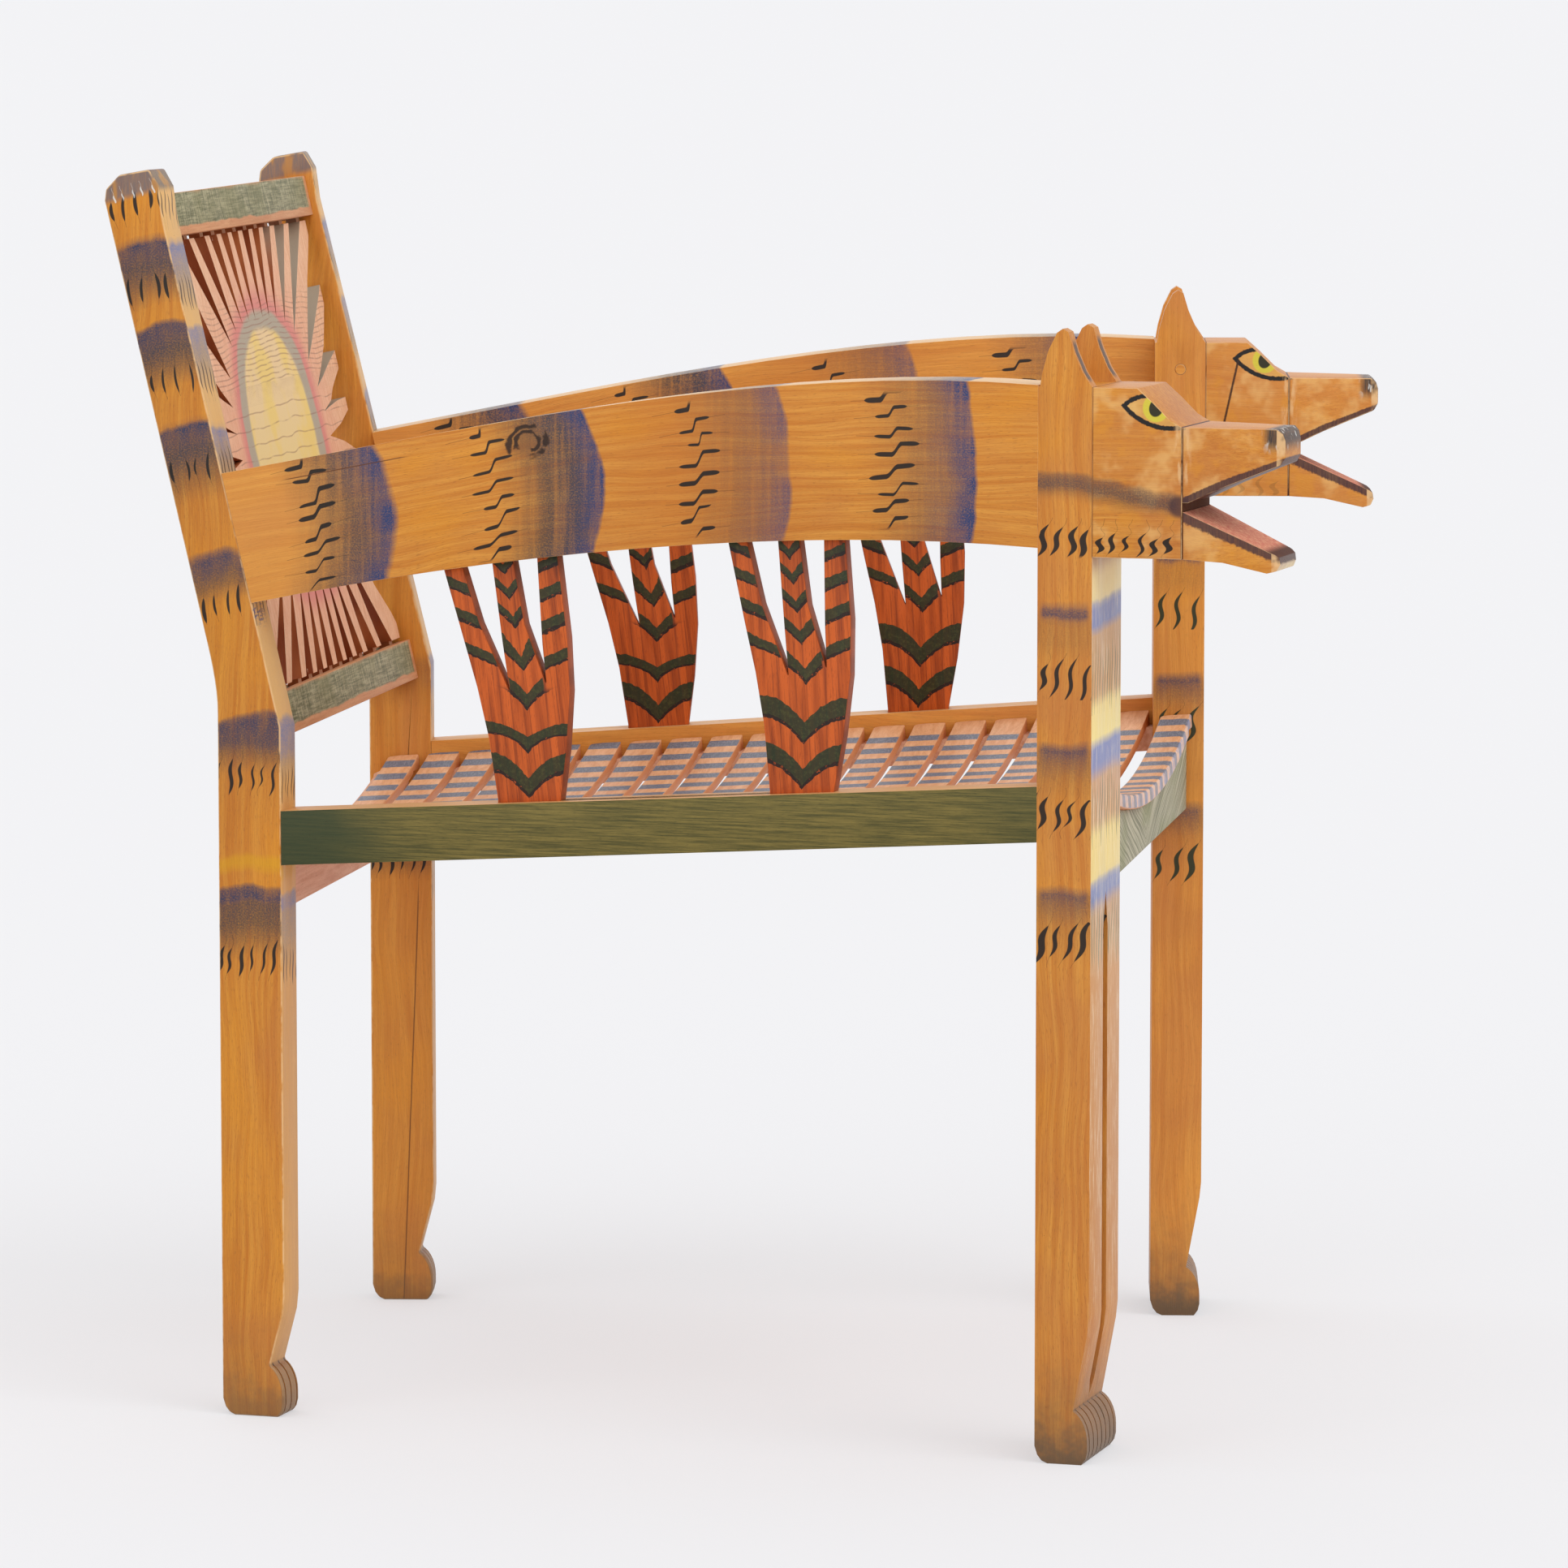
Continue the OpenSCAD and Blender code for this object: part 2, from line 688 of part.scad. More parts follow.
// Its widths are drawn for posts that stand 215.75 from the middle beside it
panel_k = x_at(lead_y + 78, board_t) / 215.75;

// Slots between the rays, middle to right: place and width at the rail, then the inner end's place and height
ray_slots = [
    [16.5, 20, 11.5, 282], [48.5, 20.5, 31, 281.5], [82.5, 22.5, 53, 281],
    [123.5, 31.5, 76, 276], [173, 37, 98, 267]
];
ray_places = [32.5, 66, 100, 147, 203];
last = len(ray_slots);

// Right edge of the panel: the outer ray's edge, three leaves and the middle notch
leaf_half = [
    [210, 347.5], [210, 336], [201, 327], [174.5, 303], [147, 273], [122, 244],
    [146, 257.5], [175, 275], [203, 292], [211, 298], [212, 283.5], [196, 267], [181, 252.5], [157, 237], [133.5, 224],
    [157, 230.5], [180, 238], [213, 247.5], [213, 233.5], [196, 227], [180.5, 220.5], [166, 211.5], [138.5, 205],
    [157, 207.5], [187, 210.5], [214, 211.5], [214, 201.5], [182, 193], [140, 186.25]
];
leaf_n = len(leaf_half);
// The lower leaves reach further out by as much as the posts stand wider apart there
function reach(p) = p[0] > 195 ? (2 * p[1] - 372.5) * tan(splay) * sin(back_tilt) : 0;
leaf_edge = concat(
    [for (p = leaf_half) [p[0], up(p[1])]],
    [for (i = [leaf_n - 2 : -1 : 0]) let (p = leaf_half[i]) [p[0] + reach(p), up(372.5 - p[1])]]
);

// The three corners of slot i, counted from -last to last without 0, at the top or the bottom of the panel
function slot_at(i, high) = let (g = ray_slots[abs(i) - 1], m = sign(i))
    [for (q = [[m * g[0] + g[1] / 2, 347.5], [m * g[2], g[3]], [m * g[0] - g[1] / 2, 347.5]])
        [q[0], up(high ? q[1] : 372.5 - q[1])]];

module panel_outline() {
    order = [for (i = [last : -1 : -last]) if (i != 0) i];
    top_slots = [for (i = order, p = slot_at(i, true)) p];
    low_slots = [for (n = [len(order) - 1 : -1 : 0], j = [2 : -1 : 0]) slot_at(order[n], false)[j]];
    outline = concat(
        top_slots,
        [for (p = leaf_edge) [-p[0], p[1]]],
        low_slots,
        [for (i = [len(leaf_edge) - 1 : -1 : 0]) leaf_edge[i]]
    );
    polygon([for (p = outline) [panel_k * p[0], p[1]]]);
}

module sun_panel() {
    at = back_set + panel_set;
    tongue_y = at + (panel_t - tongue_t) / 2;
    places = concat([0], [for (r = ray_places, m = [-1, 1]) m * r * panel_k]);
    color("#dcab95") back() {
        translate([0, at + panel_t, 0]) rotate([90, 0, 0]) linear_extrude(panel_t) panel_outline();
        for (x = places) {
            translate([x - 5, tongue_y, panel_low - tongue_l]) cube([10, tongue_t, tongue_l + ray_gap + 4]);
            translate([x - 5, tongue_y, panel_top - ray_gap - 4]) cube([10, tongue_t, tongue_l + ray_gap + 3.5]);
        }
    }
}

module slat_pins() {
    color("#d8a870") for (i = [1 : slat_count - 1]) slat_pin_pair(i, 0);
}

module head_dowels() {
    color("#d8a870") {
        head_dowel_set(RIGHT, 0);
        head_dowel_set(LEFT, 0);
    }
}

module arm_pins() {
    color("#a8703a") {
        arm_pin(RIGHT, 0);
        arm_pin(LEFT, 0);
    }
}

module ledger_screws() {
    color("#8d8a84") {
        screw_set(RIGHT, 0);
        screw_set(LEFT, 0);
    }
}

rear_post(RIGHT);  // rear_post_right
rear_post(LEFT);  // rear_post_left
front_leg(RIGHT);  // front_leg_right
front_leg(LEFT);  // front_leg_left
cheek(RIGHT);  // cheek_right
cheek(LEFT);  // cheek_left
upper_jaw(RIGHT);  // upper_jaw_right
upper_jaw(LEFT);  // upper_jaw_left
lower_jaw(RIGHT);  // lower_jaw_right
lower_jaw(LEFT);  // lower_jaw_left
arm(RIGHT);  // arm_right
arm(LEFT);  // arm_left
side_rail(RIGHT);  // side_rail_right
side_rail(LEFT);  // side_rail_left
ledger(RIGHT);  // ledger_right
ledger(LEFT);  // ledger_left
front_rail();
rear_rail();
back_rail(top_mid);  // back_top_rail
back_rail(low_mid);  // back_low_rail
sun_panel();
baluster_front(RIGHT);  // baluster_front_right
baluster_front(LEFT);  // baluster_front_left
baluster_rear(RIGHT);  // baluster_rear_right
baluster_rear(LEFT);  // baluster_rear_left
slat(0);  // slat_01
slat(1);  // slat_02
slat(2);  // slat_03
slat(3);  // slat_04
slat(4);  // slat_05
slat(5);  // slat_06
slat(6);  // slat_07
slat(7);  // slat_08
slat(8);  // slat_09
slat(9);  // slat_10
slat(10);  // slat_11
slat(11);  // slat_12
slat(12);  // slat_13
slat(13);  // slat_14
slat(14);  // slat_15
slat(15);  // slat_16
slat(16);  // slat_17
slat(17);  // slat_18
slat(18);  // slat_19
slat(slat_count);  // slat_front
slat_pins();
head_dowels();
arm_pins();
ledger_screws();
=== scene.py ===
# %% [markdown]
# # A painted animal armchair
# The chair is beech: two forelegs carry open-mouthed heads, the arms are the animals' backs, and a
# sunburst is sawn out of the raked back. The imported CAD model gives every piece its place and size.
# Here each piece gets worn edges, wood grain and brushwork. Everything is in metres, in the model's
# own frame: +Z up, the seat faces -Y, and the sitter's right side is at -X.

# %% Load the model
import math
import bpy
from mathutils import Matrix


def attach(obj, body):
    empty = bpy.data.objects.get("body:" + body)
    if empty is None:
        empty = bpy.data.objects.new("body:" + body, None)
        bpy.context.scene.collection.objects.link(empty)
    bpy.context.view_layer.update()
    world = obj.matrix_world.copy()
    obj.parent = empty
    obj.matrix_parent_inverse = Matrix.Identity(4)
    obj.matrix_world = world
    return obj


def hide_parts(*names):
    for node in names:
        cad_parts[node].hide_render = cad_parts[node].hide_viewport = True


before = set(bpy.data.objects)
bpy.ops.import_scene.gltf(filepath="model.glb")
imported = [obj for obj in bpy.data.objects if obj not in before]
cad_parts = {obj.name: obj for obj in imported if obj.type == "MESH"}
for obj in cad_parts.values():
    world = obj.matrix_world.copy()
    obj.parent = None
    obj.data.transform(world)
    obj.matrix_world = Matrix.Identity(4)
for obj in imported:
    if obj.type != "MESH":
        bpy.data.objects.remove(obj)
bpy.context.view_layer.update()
BODY = "root"
print("loaded", len(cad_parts), "pieces")

# %% [markdown]
# ## Camera
# The photograph was taken from the chair's right side with a long lens. These values were solved
# from matched points on the two sides of the chair, so nothing is tuned by eye. The camera looks a
# little down instead of using lens shift.

# %% Camera
FRAME_PX = 1932
FOCAL_PX = 9530.8
SENSOR_MM = 36.0
CAMERA_AT = (-5.4846, -0.9376, 1.0335)
YAW = math.radians(9.507)
PITCH = math.radians(6.228)

camera = bpy.data.cameras.new("camera")
camera.sensor_width = SENSOR_MM
camera.lens = FOCAL_PX / FRAME_PX * SENSOR_MM
camera.clip_end = 2000.0
camera_object = bpy.data.objects.new("camera", camera)
camera_object.location = CAMERA_AT
camera_object.rotation_euler = (math.pi / 2 - PITCH, 0.0, YAW - math.pi / 2)
bpy.context.scene.collection.objects.link(camera_object)
bpy.context.scene.camera = camera_object
print("lens", round(camera.lens, 1), "mm")

# %% [markdown]
# ## Floor
# The photograph has a pale seamless ground with faint soft shadows. A very wide disc reaches the
# horizon from every side. Seen by the camera the ground is partly its own glow, which keeps it one
# pale tone and the shadows on it as faint as in the photograph. The glow is for the camera's rays
# and for mirrored ones, so it throws no light up at the chair.

# %% Floor
GROUND = (0.80, 0.80, 0.82, 1.0)
GROUND_SEEN = (0.38, 0.38, 0.385, 1.0)
GLOW_TINT = (1.0, 1.0, 1.03, 1.0)
GROUND_GLOW = 0.487

bpy.ops.object.select_all(action="DESELECT")
bpy.ops.mesh.primitive_circle_add(vertices=96, radius=600.0, fill_type="NGON", location=(0, 0, 0))
floor = bpy.context.object
floor.name = "studio_floor"
floor.data.name = "studio_floor"


def seen_directly(tree):
    """1 for rays that show the background itself: straight, mirrored or through glass."""
    path = tree.nodes.new("ShaderNodeLightPath")
    total = path.outputs["Is Camera Ray"]
    for other in ("Is Glossy Ray", "Is Transmission Ray"):
        either = tree.nodes.new("ShaderNodeMath")
        either.operation = "MAXIMUM"
        tree.links.new(total, either.inputs[0])
        tree.links.new(path.outputs[other], either.inputs[1])
        total = either.outputs[0]
    return total


def two_tones(tree, seen, light, shown):
    """One colour for light and another for the rays that show the background."""
    tone = tree.nodes.new("ShaderNodeMix")
    tone.data_type = "RGBA"
    tone.inputs[6].default_value = light
    tone.inputs[7].default_value = shown
    tree.links.new(seen, tone.inputs[0])
    return tone.outputs[2]


floor_paint = bpy.data.materials.new("pale ground")
floor_paint.use_nodes = True
floor_tree = floor_paint.node_tree
ground = floor_tree.nodes["Principled BSDF"]
ground.inputs["Roughness"].default_value = 1.0
ground.inputs["Specular IOR Level"].default_value = 0.0
ground.inputs["Emission Color"].default_value = GLOW_TINT
seen = seen_directly(floor_tree)
floor_tree.links.new(two_tones(floor_tree, seen, GROUND, GROUND_SEEN), ground.inputs["Base Color"])
glow = floor_tree.nodes.new("ShaderNodeMath")
glow.operation = "MULTIPLY"
glow.inputs[1].default_value = GROUND_GLOW
floor_tree.links.new(seen, glow.inputs[0])
floor_tree.links.new(glow.outputs[0], ground.inputs["Emission Strength"])
floor.data.materials.append(floor_paint)
print("floor made")

# %% [markdown]
# ## Sky and suns
# The light in the photograph is very even, and its faint shadows fall towards the back of the chair.
# An even sky gives most of the light. Three very wide suns add a gentle direction: a key from the
# front, a fill from the camera's side and a little from behind. Suns light the wide floor evenly, so
# that it stays one pale tone right to the horizon, which near lamps would not do.

# %% Sky and suns
SKY_SEEN = (0.897, 0.897, 0.917, 1.0)
SKY_LIGHT = (0.70, 0.70, 0.70, 1.0)
SUNS = [
    ("key_sun", (-1.4, -3.2, 3.0), 40.0, 0.75), ("fill_sun", (-3.2, 0.2, 1.6), 90.0, 0.95),
    ("back_sun", (2.6, 2.4, 2.4), 90.0, 0.45)]

world = bpy.data.worlds.new("studio sky")
world.use_nodes = True
bpy.context.scene.world = world
sky = world.node_tree.nodes["Background"]
sky.inputs["Strength"].default_value = 1.0
seen = seen_directly(world.node_tree)
world.node_tree.links.new(two_tones(world.node_tree, seen, SKY_LIGHT, SKY_SEEN), sky.inputs["Color"])

for name, toward, width, power in SUNS:
    lamp = bpy.data.lights.new(name, "SUN")
    lamp.energy = power
    lamp.angle = math.radians(width)
    holder = bpy.data.objects.new(name, lamp)
    flat = math.hypot(toward[0], toward[1])
    holder.rotation_euler = (math.atan2(flat, toward[2]), 0.0, math.atan2(toward[0], -toward[1]))
    holder.location = toward
    bpy.context.scene.collection.objects.link(holder)

bpy.context.scene.view_settings.view_transform = "Standard"
print("sky and", len(SUNS), "suns made")

# %% [markdown]
# ## Softened pieces
# A sawn and sanded board never has a knife-sharp edge, and years of hands round it further. Each CAD
# piece is copied, its loose triangles are merged and joined into flat faces, and a Bevel modifier
# rounds every real edge by a millimetre or two. The copy then stands for the CAD piece. Modelling the
# boards anew would only lose the exact joints that the CAD model already has.

# %% Softened copies
MERGE = 0.00001
FLAT = math.radians(0.4)
SHARP = math.radians(25)
SMOOTH = math.radians(30)
made = {}


def only(piece):
    """Makes one object the active and only selected one."""
    bpy.ops.object.select_all(action="DESELECT")
    piece.select_set(True)
    bpy.context.view_layer.objects.active = piece


def tidy_mesh(piece):
    """Merges doubled points and joins triangles that lie in one plane."""
    only(piece)
    bpy.ops.object.mode_set(mode="EDIT")
    bpy.ops.mesh.select_all(action="SELECT")
    bpy.ops.mesh.remove_doubles(threshold=MERGE)
    bpy.ops.mesh.dissolve_limited(angle_limit=FLAT)
    bpy.ops.object.mode_set(mode="OBJECT")


def round_edges(piece, width, steps):
    """Rounds each sharp edge, and applies it."""
    only(piece)
    bevel = piece.modifiers.new("worn edges", "BEVEL")
    bevel.width = width
    bevel.segments = steps
    bevel.limit_method = "ANGLE"
    bevel.angle_limit = SHARP
    bevel.use_clamp_overlap = True
    bevel.miter_outer = "MITER_ARC"
    bpy.ops.object.modifier_apply(modifier=bevel.name)


def copy_of(node):
    """A free copy of a CAD piece, with its own mesh."""
    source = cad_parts[node]
    piece = source.copy()
    piece.data = source.data.copy()
    piece.parent = None
    piece.name = "worn_" + node
    piece.data.name = piece.name
    piece.data.materials.clear()
    bpy.context.scene.collection.objects.link(piece)
    piece.matrix_world.identity()
    piece.hide_render = False
    piece.hide_viewport = False
    tidy_mesh(piece)
    return piece


def hand_in(piece, node, finish):
    """Gives a finished piece its shading, its paint, its body and the node it stands for."""
    only(piece)
    bpy.ops.object.shade_smooth_by_angle(angle=SMOOTH)
    piece.data.materials.clear()
    piece.data.materials.append(finish)
    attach(piece, BODY)
    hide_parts(node)
    made[node] = piece


print("helpers ready")

# %% [markdown]
# ## Short words for nodes
# Node materials are wordy in code. This small class gives one-line words for the nodes that the
# finishes use, so each finish below reads like a recipe: take a place, make a mask, lay on a colour.
# Drawing the same nodes by hand would take some thousand clicks and could not be read at a glance.

# %% Recipe words
def chip(red, green, blue):
    """A paint chip in everyday 0 to 255 values, turned into the linear colour that nodes use."""
    def line(value):
        value = value / 255
        return value / 12.92 if value <= 0.04045 else ((value + 0.055) / 1.055) ** 2.4
    return (line(red), line(green), line(blue), 1.0)


class Recipe:
    """Short words for the nodes of one material or group."""

    def __init__(self, tree):
        self.tree = tree

    def node(self, kind, **settings):
        new = self.tree.nodes.new("ShaderNode" + kind)
        for name, value in settings.items():
            setattr(new, name, value)
        return new

    def feed(self, socket, value):
        """Gives a socket a link from another one, or a plain value."""
        if isinstance(value, bpy.types.NodeSocket):
            self.tree.links.new(value, socket)
        else:
            socket.default_value = value

    def calc(self, operation, *values, clamp=False):
        new = self.node("Math", operation=operation, use_clamp=clamp)
        for socket, value in zip(new.inputs, values):
            self.feed(socket, value)
        return new.outputs[0]

    def chain(self, operation, values):
        """Works down a list: the first with the second, the result with the third, and so on."""
        result = values[0]
        for value in values[1:]:
            result = self.calc(operation, result, value)
        return result

    def times(self, *values):
        return self.chain("MULTIPLY", values)

    def plus(self, *values):
        return self.chain("ADD", values)

    def most(self, *values):
        return self.chain("MAXIMUM", values)

    def least(self, *values):
        return self.chain("MINIMUM", values)

    def minus(self, a, b):
        return self.calc("SUBTRACT", a, b)

    def per(self, a, b):
        return self.calc("DIVIDE", a, b)

    def power(self, a, b):
        return self.calc("POWER", a, b)

    def absolute(self, a):
        return self.calc("ABSOLUTE", a)

    def opposite(self, a):
        """What a mask leaves out: 0 becomes 1 and 1 becomes 0."""
        return self.minus(1.0, a)

    def far(self, a, b):
        """How far two values are apart."""
        return self.absolute(self.minus(a, b))

    def distance(self, a, b):
        """The length of a step that goes a one way and b square to it."""
        return self.calc("SQRT", self.plus(self.power(a, 2.0), self.power(b, 2.0)))

    def fade(self, value, start, end, low=0.0, high=1.0):
        """Goes smoothly from low to high while value goes from start to end."""
        new = self.node("MapRange", interpolation_type="SMOOTHSTEP")
        for socket, given in zip(new.inputs, (value, start, end, low, high)):
            self.feed(socket, given)
        return new.outputs[0]

    def between(self, value, low, high, soft):
        """1 from low to high, with soft ends."""
        rise = self.fade(value, low - soft, low + soft)
        return self.times(rise, self.fade(value, high + soft, high - soft))

    def split(self, vector):
        new = self.node("SeparateXYZ")
        self.feed(new.inputs[0], vector)
        return new.outputs[0], new.outputs[1], new.outputs[2]

    def join(self, x, y, z):
        new = self.node("CombineXYZ")
        for socket, value in zip(new.inputs, (x, y, z)):
            self.feed(socket, value)
        return new.outputs[0]

    def stretch(self, vector, amounts):
        new = self.node("VectorMath", operation="MULTIPLY")
        self.feed(new.inputs[0], vector)
        new.inputs[1].default_value = amounts
        return new.outputs[0]

    def noise(self, vector, detail=2.0, rough=0.5, twist=0.0):
        new = self.node("TexNoise")
        self.feed(new.inputs["Vector"], vector)
        new.inputs["Scale"].default_value = 1.0
        new.inputs["Detail"].default_value = detail
        new.inputs["Roughness"].default_value = rough
        new.inputs["Distortion"].default_value = twist
        return new.outputs[0]

    def cloud(self, vector, fineness, detail=2.0, rough=0.5):
        """Noise that changes about once in 1 / fineness millimetres along each axis."""
        return self.noise(self.stretch(vector, fineness), detail, rough)

    def sway(self, vector, fineness, detail, size):
        """A soft push to both sides, at most half of size each way."""
        return self.times(self.minus(self.cloud(vector, fineness, detail), 0.5), size)

    def dice(self, x, y, z=0.0):
        """Three random values that stay the same inside one cell."""
        new = self.node("TexWhiteNoise", noise_dimensions="3D")
        self.feed(new.inputs["Vector"], self.join(x, y, z))
        return self.split(new.outputs["Color"])

    def table(self, value, rows, way="LINEAR"):
        """Looks a value up in rows of (place, three numbers or a colour), and gives a colour."""
        new = self.node("ValToRGB")
        ramp = new.color_ramp
        ramp.interpolation = way
        rows = sorted(rows, key=lambda row: row[0])
        while len(ramp.elements) < len(rows):
            ramp.elements.new(1.0)
        for stop, (place, colour) in zip(ramp.elements, rows):
            stop.position = place
            stop.color = (*colour[:3], 1.0)
        self.feed(new.inputs[0], value)
        return new.outputs[0]

    def lay(self, amount, under, over):
        """Lays one colour over another by an amount from 0 to 1."""
        new = self.node("Mix", data_type="RGBA")
        self.feed(new.inputs[0], amount)
        self.feed(new.inputs[6], under)
        self.feed(new.inputs[7], over)
        return new.outputs[2]

    def use(self, group, **values):
        """Puts a group in, and gives its outputs."""
        new = self.node("Group", node_tree=group)
        for name, value in values.items():
            self.feed(new.inputs[name], value)
        return new.outputs


def new_group(name, inputs, outputs):
    """An empty node group and its recipe. The socket Place is a vector, and the others are numbers."""
    tree = bpy.data.node_groups.new(name, "ShaderNodeTree")
    for way, labels in (("INPUT", inputs), ("OUTPUT", outputs)):
        for label in labels:
            kind = "NodeSocketVector" if label == "Place" else "NodeSocketFloat"
            tree.interface.new_socket(label, in_out=way, socket_type=kind)
    entry = tree.nodes.new("NodeGroupInput")
    leave = tree.nodes.new("NodeGroupOutput")
    return tree, Recipe(tree), entry.outputs, leave.inputs


print("recipe words ready")

# %% [markdown]
# ## Where am I on the side of the chair?
# Both sides toe out by 7.6 degrees. Brush marks follow the boards, so the paint needs the board's own
# directions: s backwards along the side, z up and n inwards from the outer face. This group turns the
# object's place into millimetres along those directions, mirrored for the far side, and does the same
# with the surface's normal, so that a finish can tell an outer face from a front edge. Separate
# materials for the two sides would say everything twice.

# %% Side place group
HALF_W = 292.0
SPLAY = math.radians(7.6)
Y_MID = -23.299
MM = (1000.0, 1000.0, 1000.0)

side_group, r, _, out = new_group(
    "side place", [], ["S", "Z", "N", "Place", "Face S", "Face Z", "Face N", "Hand"])
x, y, z = r.split(r.stretch(r.node("TexCoord").outputs["Object"], MM))
hand = r.calc("SIGN", x)
x_in = r.minus(HALF_W, r.absolute(x))
y_plan = r.plus(y, Y_MID)
s = r.plus(r.times(x_in, math.sin(SPLAY)), r.times(y_plan, math.cos(SPLAY)))
n = r.minus(r.times(x_in, math.cos(SPLAY)), r.times(y_plan, math.sin(SPLAY)))
nx, ny, nz = r.split(r.node("NewGeometry").outputs["Normal"])
nx = r.times(nx, hand, -1.0)
face_s = r.plus(r.times(nx, math.sin(SPLAY)), r.times(ny, math.cos(SPLAY)))
face_n = r.minus(r.times(nx, math.cos(SPLAY)), r.times(ny, math.sin(SPLAY)))
for name, value in (("S", s), ("Z", z), ("N", n), ("Place", r.join(s, z, n)), ("Face S", face_s),
                    ("Face Z", nz), ("Face N", face_n), ("Hand", hand)):
    r.feed(out[name], value)


def on_side(r):
    """The side place group's values in this recipe, and its s, z, n and place by themselves."""
    side = r.use(side_group)
    return side, side["S"], side["Z"], side["N"], side["Place"]


def broad_faces(r, side):
    """1 on a board's outer and inner face, and 0 on its rims."""
    return r.fade(r.absolute(side["Face N"]), 0.6, 0.9)


print("side place group made")

# %% [markdown]
# ## Boards of one side
# Several finishes need the same few places of the side: where the foreleg, the cheek block and the
# rear post have their front faces, where the cheek block begins above the leg, and how much the side
# rail drops towards the back. The grooves between the toes are carved later and darkened by the paint,
# so both use one pitch and one first place.

# %% Places along the side
LEG_FRONT = -311.0
LEG_MIDDLE = -292.0
CHEEK_FRONT = -373.0
CHEEK_FOOT = 621.0
POST_FRONT = 273.0
RAIL_DROP = 0.0636
GROOVE_PITCH = 11.0
GROOVE_FRONT, GROOVE_REAR = 6.0, 4.0
print("leg", LEG_FRONT, "cheek", CHEEK_FRONT, "post", POST_FRONT, "mm")

# %% [markdown]
# ## Beech
# Beech shows fine growth lines along the board, thousands of short dark flecks, and soft clouds where
# the stain took more or less. All three are noise stretched along the grain. The group expects its
# place in millimetres with the grain along X, and the seed moves it to another part of the tree.

# %% Beech group
beech_group, r, take, out = new_group("beech", ["Place", "Seed"], ["Lines", "Flecks", "Clouds", "Fine"])
x, y, z = r.split(take["Place"])
moved = r.join(x, r.plus(y, r.times(take["Seed"], 171.0)), r.plus(z, r.times(take["Seed"], 53.0)))
bent = r.cloud(moved, (0.006, 0.012, 0.012))
mx, my, mz = r.split(moved)
wavy = r.join(mx, r.plus(my, r.times(bent, 26.0)), mz)
r.feed(out["Lines"], r.cloud(wavy, (0.006, 0.26, 0.26), 5.0, 0.7))
r.feed(out["Fine"], r.cloud(wavy, (0.045, 1.3, 1.3), 2.0, 0.6))
r.feed(out["Flecks"], r.fade(r.cloud(wavy, (0.22, 1.7, 1.7), 1.0, 0.4), 0.60, 0.72))
r.feed(out["Clouds"], r.cloud(moved, (0.009, 0.017, 0.017), 2.0, 0.55))
print("beech group made")

# %% [markdown]
# ## Flicks
# The fur is shown by rows of short S-shaped flicks. A row is a line of equal cells: inside each cell
# the distance to one curve gives a stroke with thin ends, and random values per cell shift, tilt
# and shorten it, as a hand does. Along runs with the stroke and Across runs from stroke to stroke.
# The curve is a piece of a sine: Snap says how fast it turns, Hold where it stops turning and Start
# where it begins, so one group gives an S, a single sharp step or a bracket. Flip turns some round,
# Tilt slants them all, and a high Blunt keeps the stroke thick to its ends.

# %% Flick group
flick_group, r, take, out = new_group(
    "flicks", ["Along", "Across", "Row", "Pitch", "Half", "Width", "Step", "Snap", "Hold", "Start",
               "Flip", "Tilt", "Blunt"], ["Mark"])
slanted = r.minus(take["Across"], r.times(take["Along"], take["Tilt"]))
cell = r.calc("FLOOR", r.per(slanted, take["Pitch"]))
middle = r.times(r.plus(cell, 0.5), take["Pitch"])
shift, sideways, shorter = r.dice(cell, r.times(take["Row"], 40.0), 3.0)
swell, leaning, weight = r.dice(cell, r.times(take["Row"], 40.0), 9.0)
along = r.plus(take["Along"], r.times(r.minus(shift, 0.5), take["Half"], 0.5))
across = r.plus(r.minus(slanted, middle), r.times(r.minus(sideways, 0.5), take["Pitch"], 0.3))
half = r.times(take["Half"], r.plus(1.0, r.times(r.minus(shorter, 0.6), 0.5)))
t = r.per(along, half)
turned = r.least(r.most(r.times(t, take["Snap"]), r.times(take["Hold"], -1.0)), take["Hold"])
swing = r.calc("SINE", r.plus(turned, take["Start"]))
round_about = r.opposite(r.times(r.calc("GREATER_THAN", sideways, 0.55), take["Flip"], 2.0))
curl = r.times(swing, take["Step"], r.plus(0.7, r.times(swell, 0.6)), round_about)
lean = r.times(along, r.minus(leaning, 0.5), 0.2)
gap = r.far(across, r.plus(curl, lean))
body = r.opposite(r.power(r.least(r.absolute(t), 1.0), take["Blunt"]))
width = r.times(take["Width"], body, r.plus(0.65, r.times(weight, 0.7)))
r.feed(out["Mark"], r.fade(r.minus(gap, width), 0.35, -0.25))
print("flick group made")

# %% [markdown]
# ## Stained frame
# Posts, legs, heads and arms share one honey stain. The boards' rims are paler than their faces, worn
# edges are paler still, and the paws are grey with dirt, darkest in the grooves between the toes. Each
# finish starts from this recipe and adds its own brush marks, so all of them wear the same way.

# %% Stained beech
HONEY_LIGHT = chip(217, 149, 62)
HONEY_DARK = chip(197, 121, 40)
HONEY_GOLD = chip(220, 144, 32)
BARE = chip(226, 184, 132)
INK = chip(24, 21, 19)
BLUE = chip(48, 54, 82)
SMOKE = chip(82, 66, 54)
RELIEF = 0.0003


def start_finish(name):
    """A new material with its shader, and the recipe to paint it with."""
    finish = bpy.data.materials.new(name)
    finish.use_nodes = True
    tree = finish.node_tree
    tree.nodes.clear()
    recipe = Recipe(tree)
    shader = recipe.node("BsdfPrincipled")
    tree.links.new(shader.outputs[0], recipe.node("OutputMaterial").inputs["Surface"])
    return finish, recipe, shader


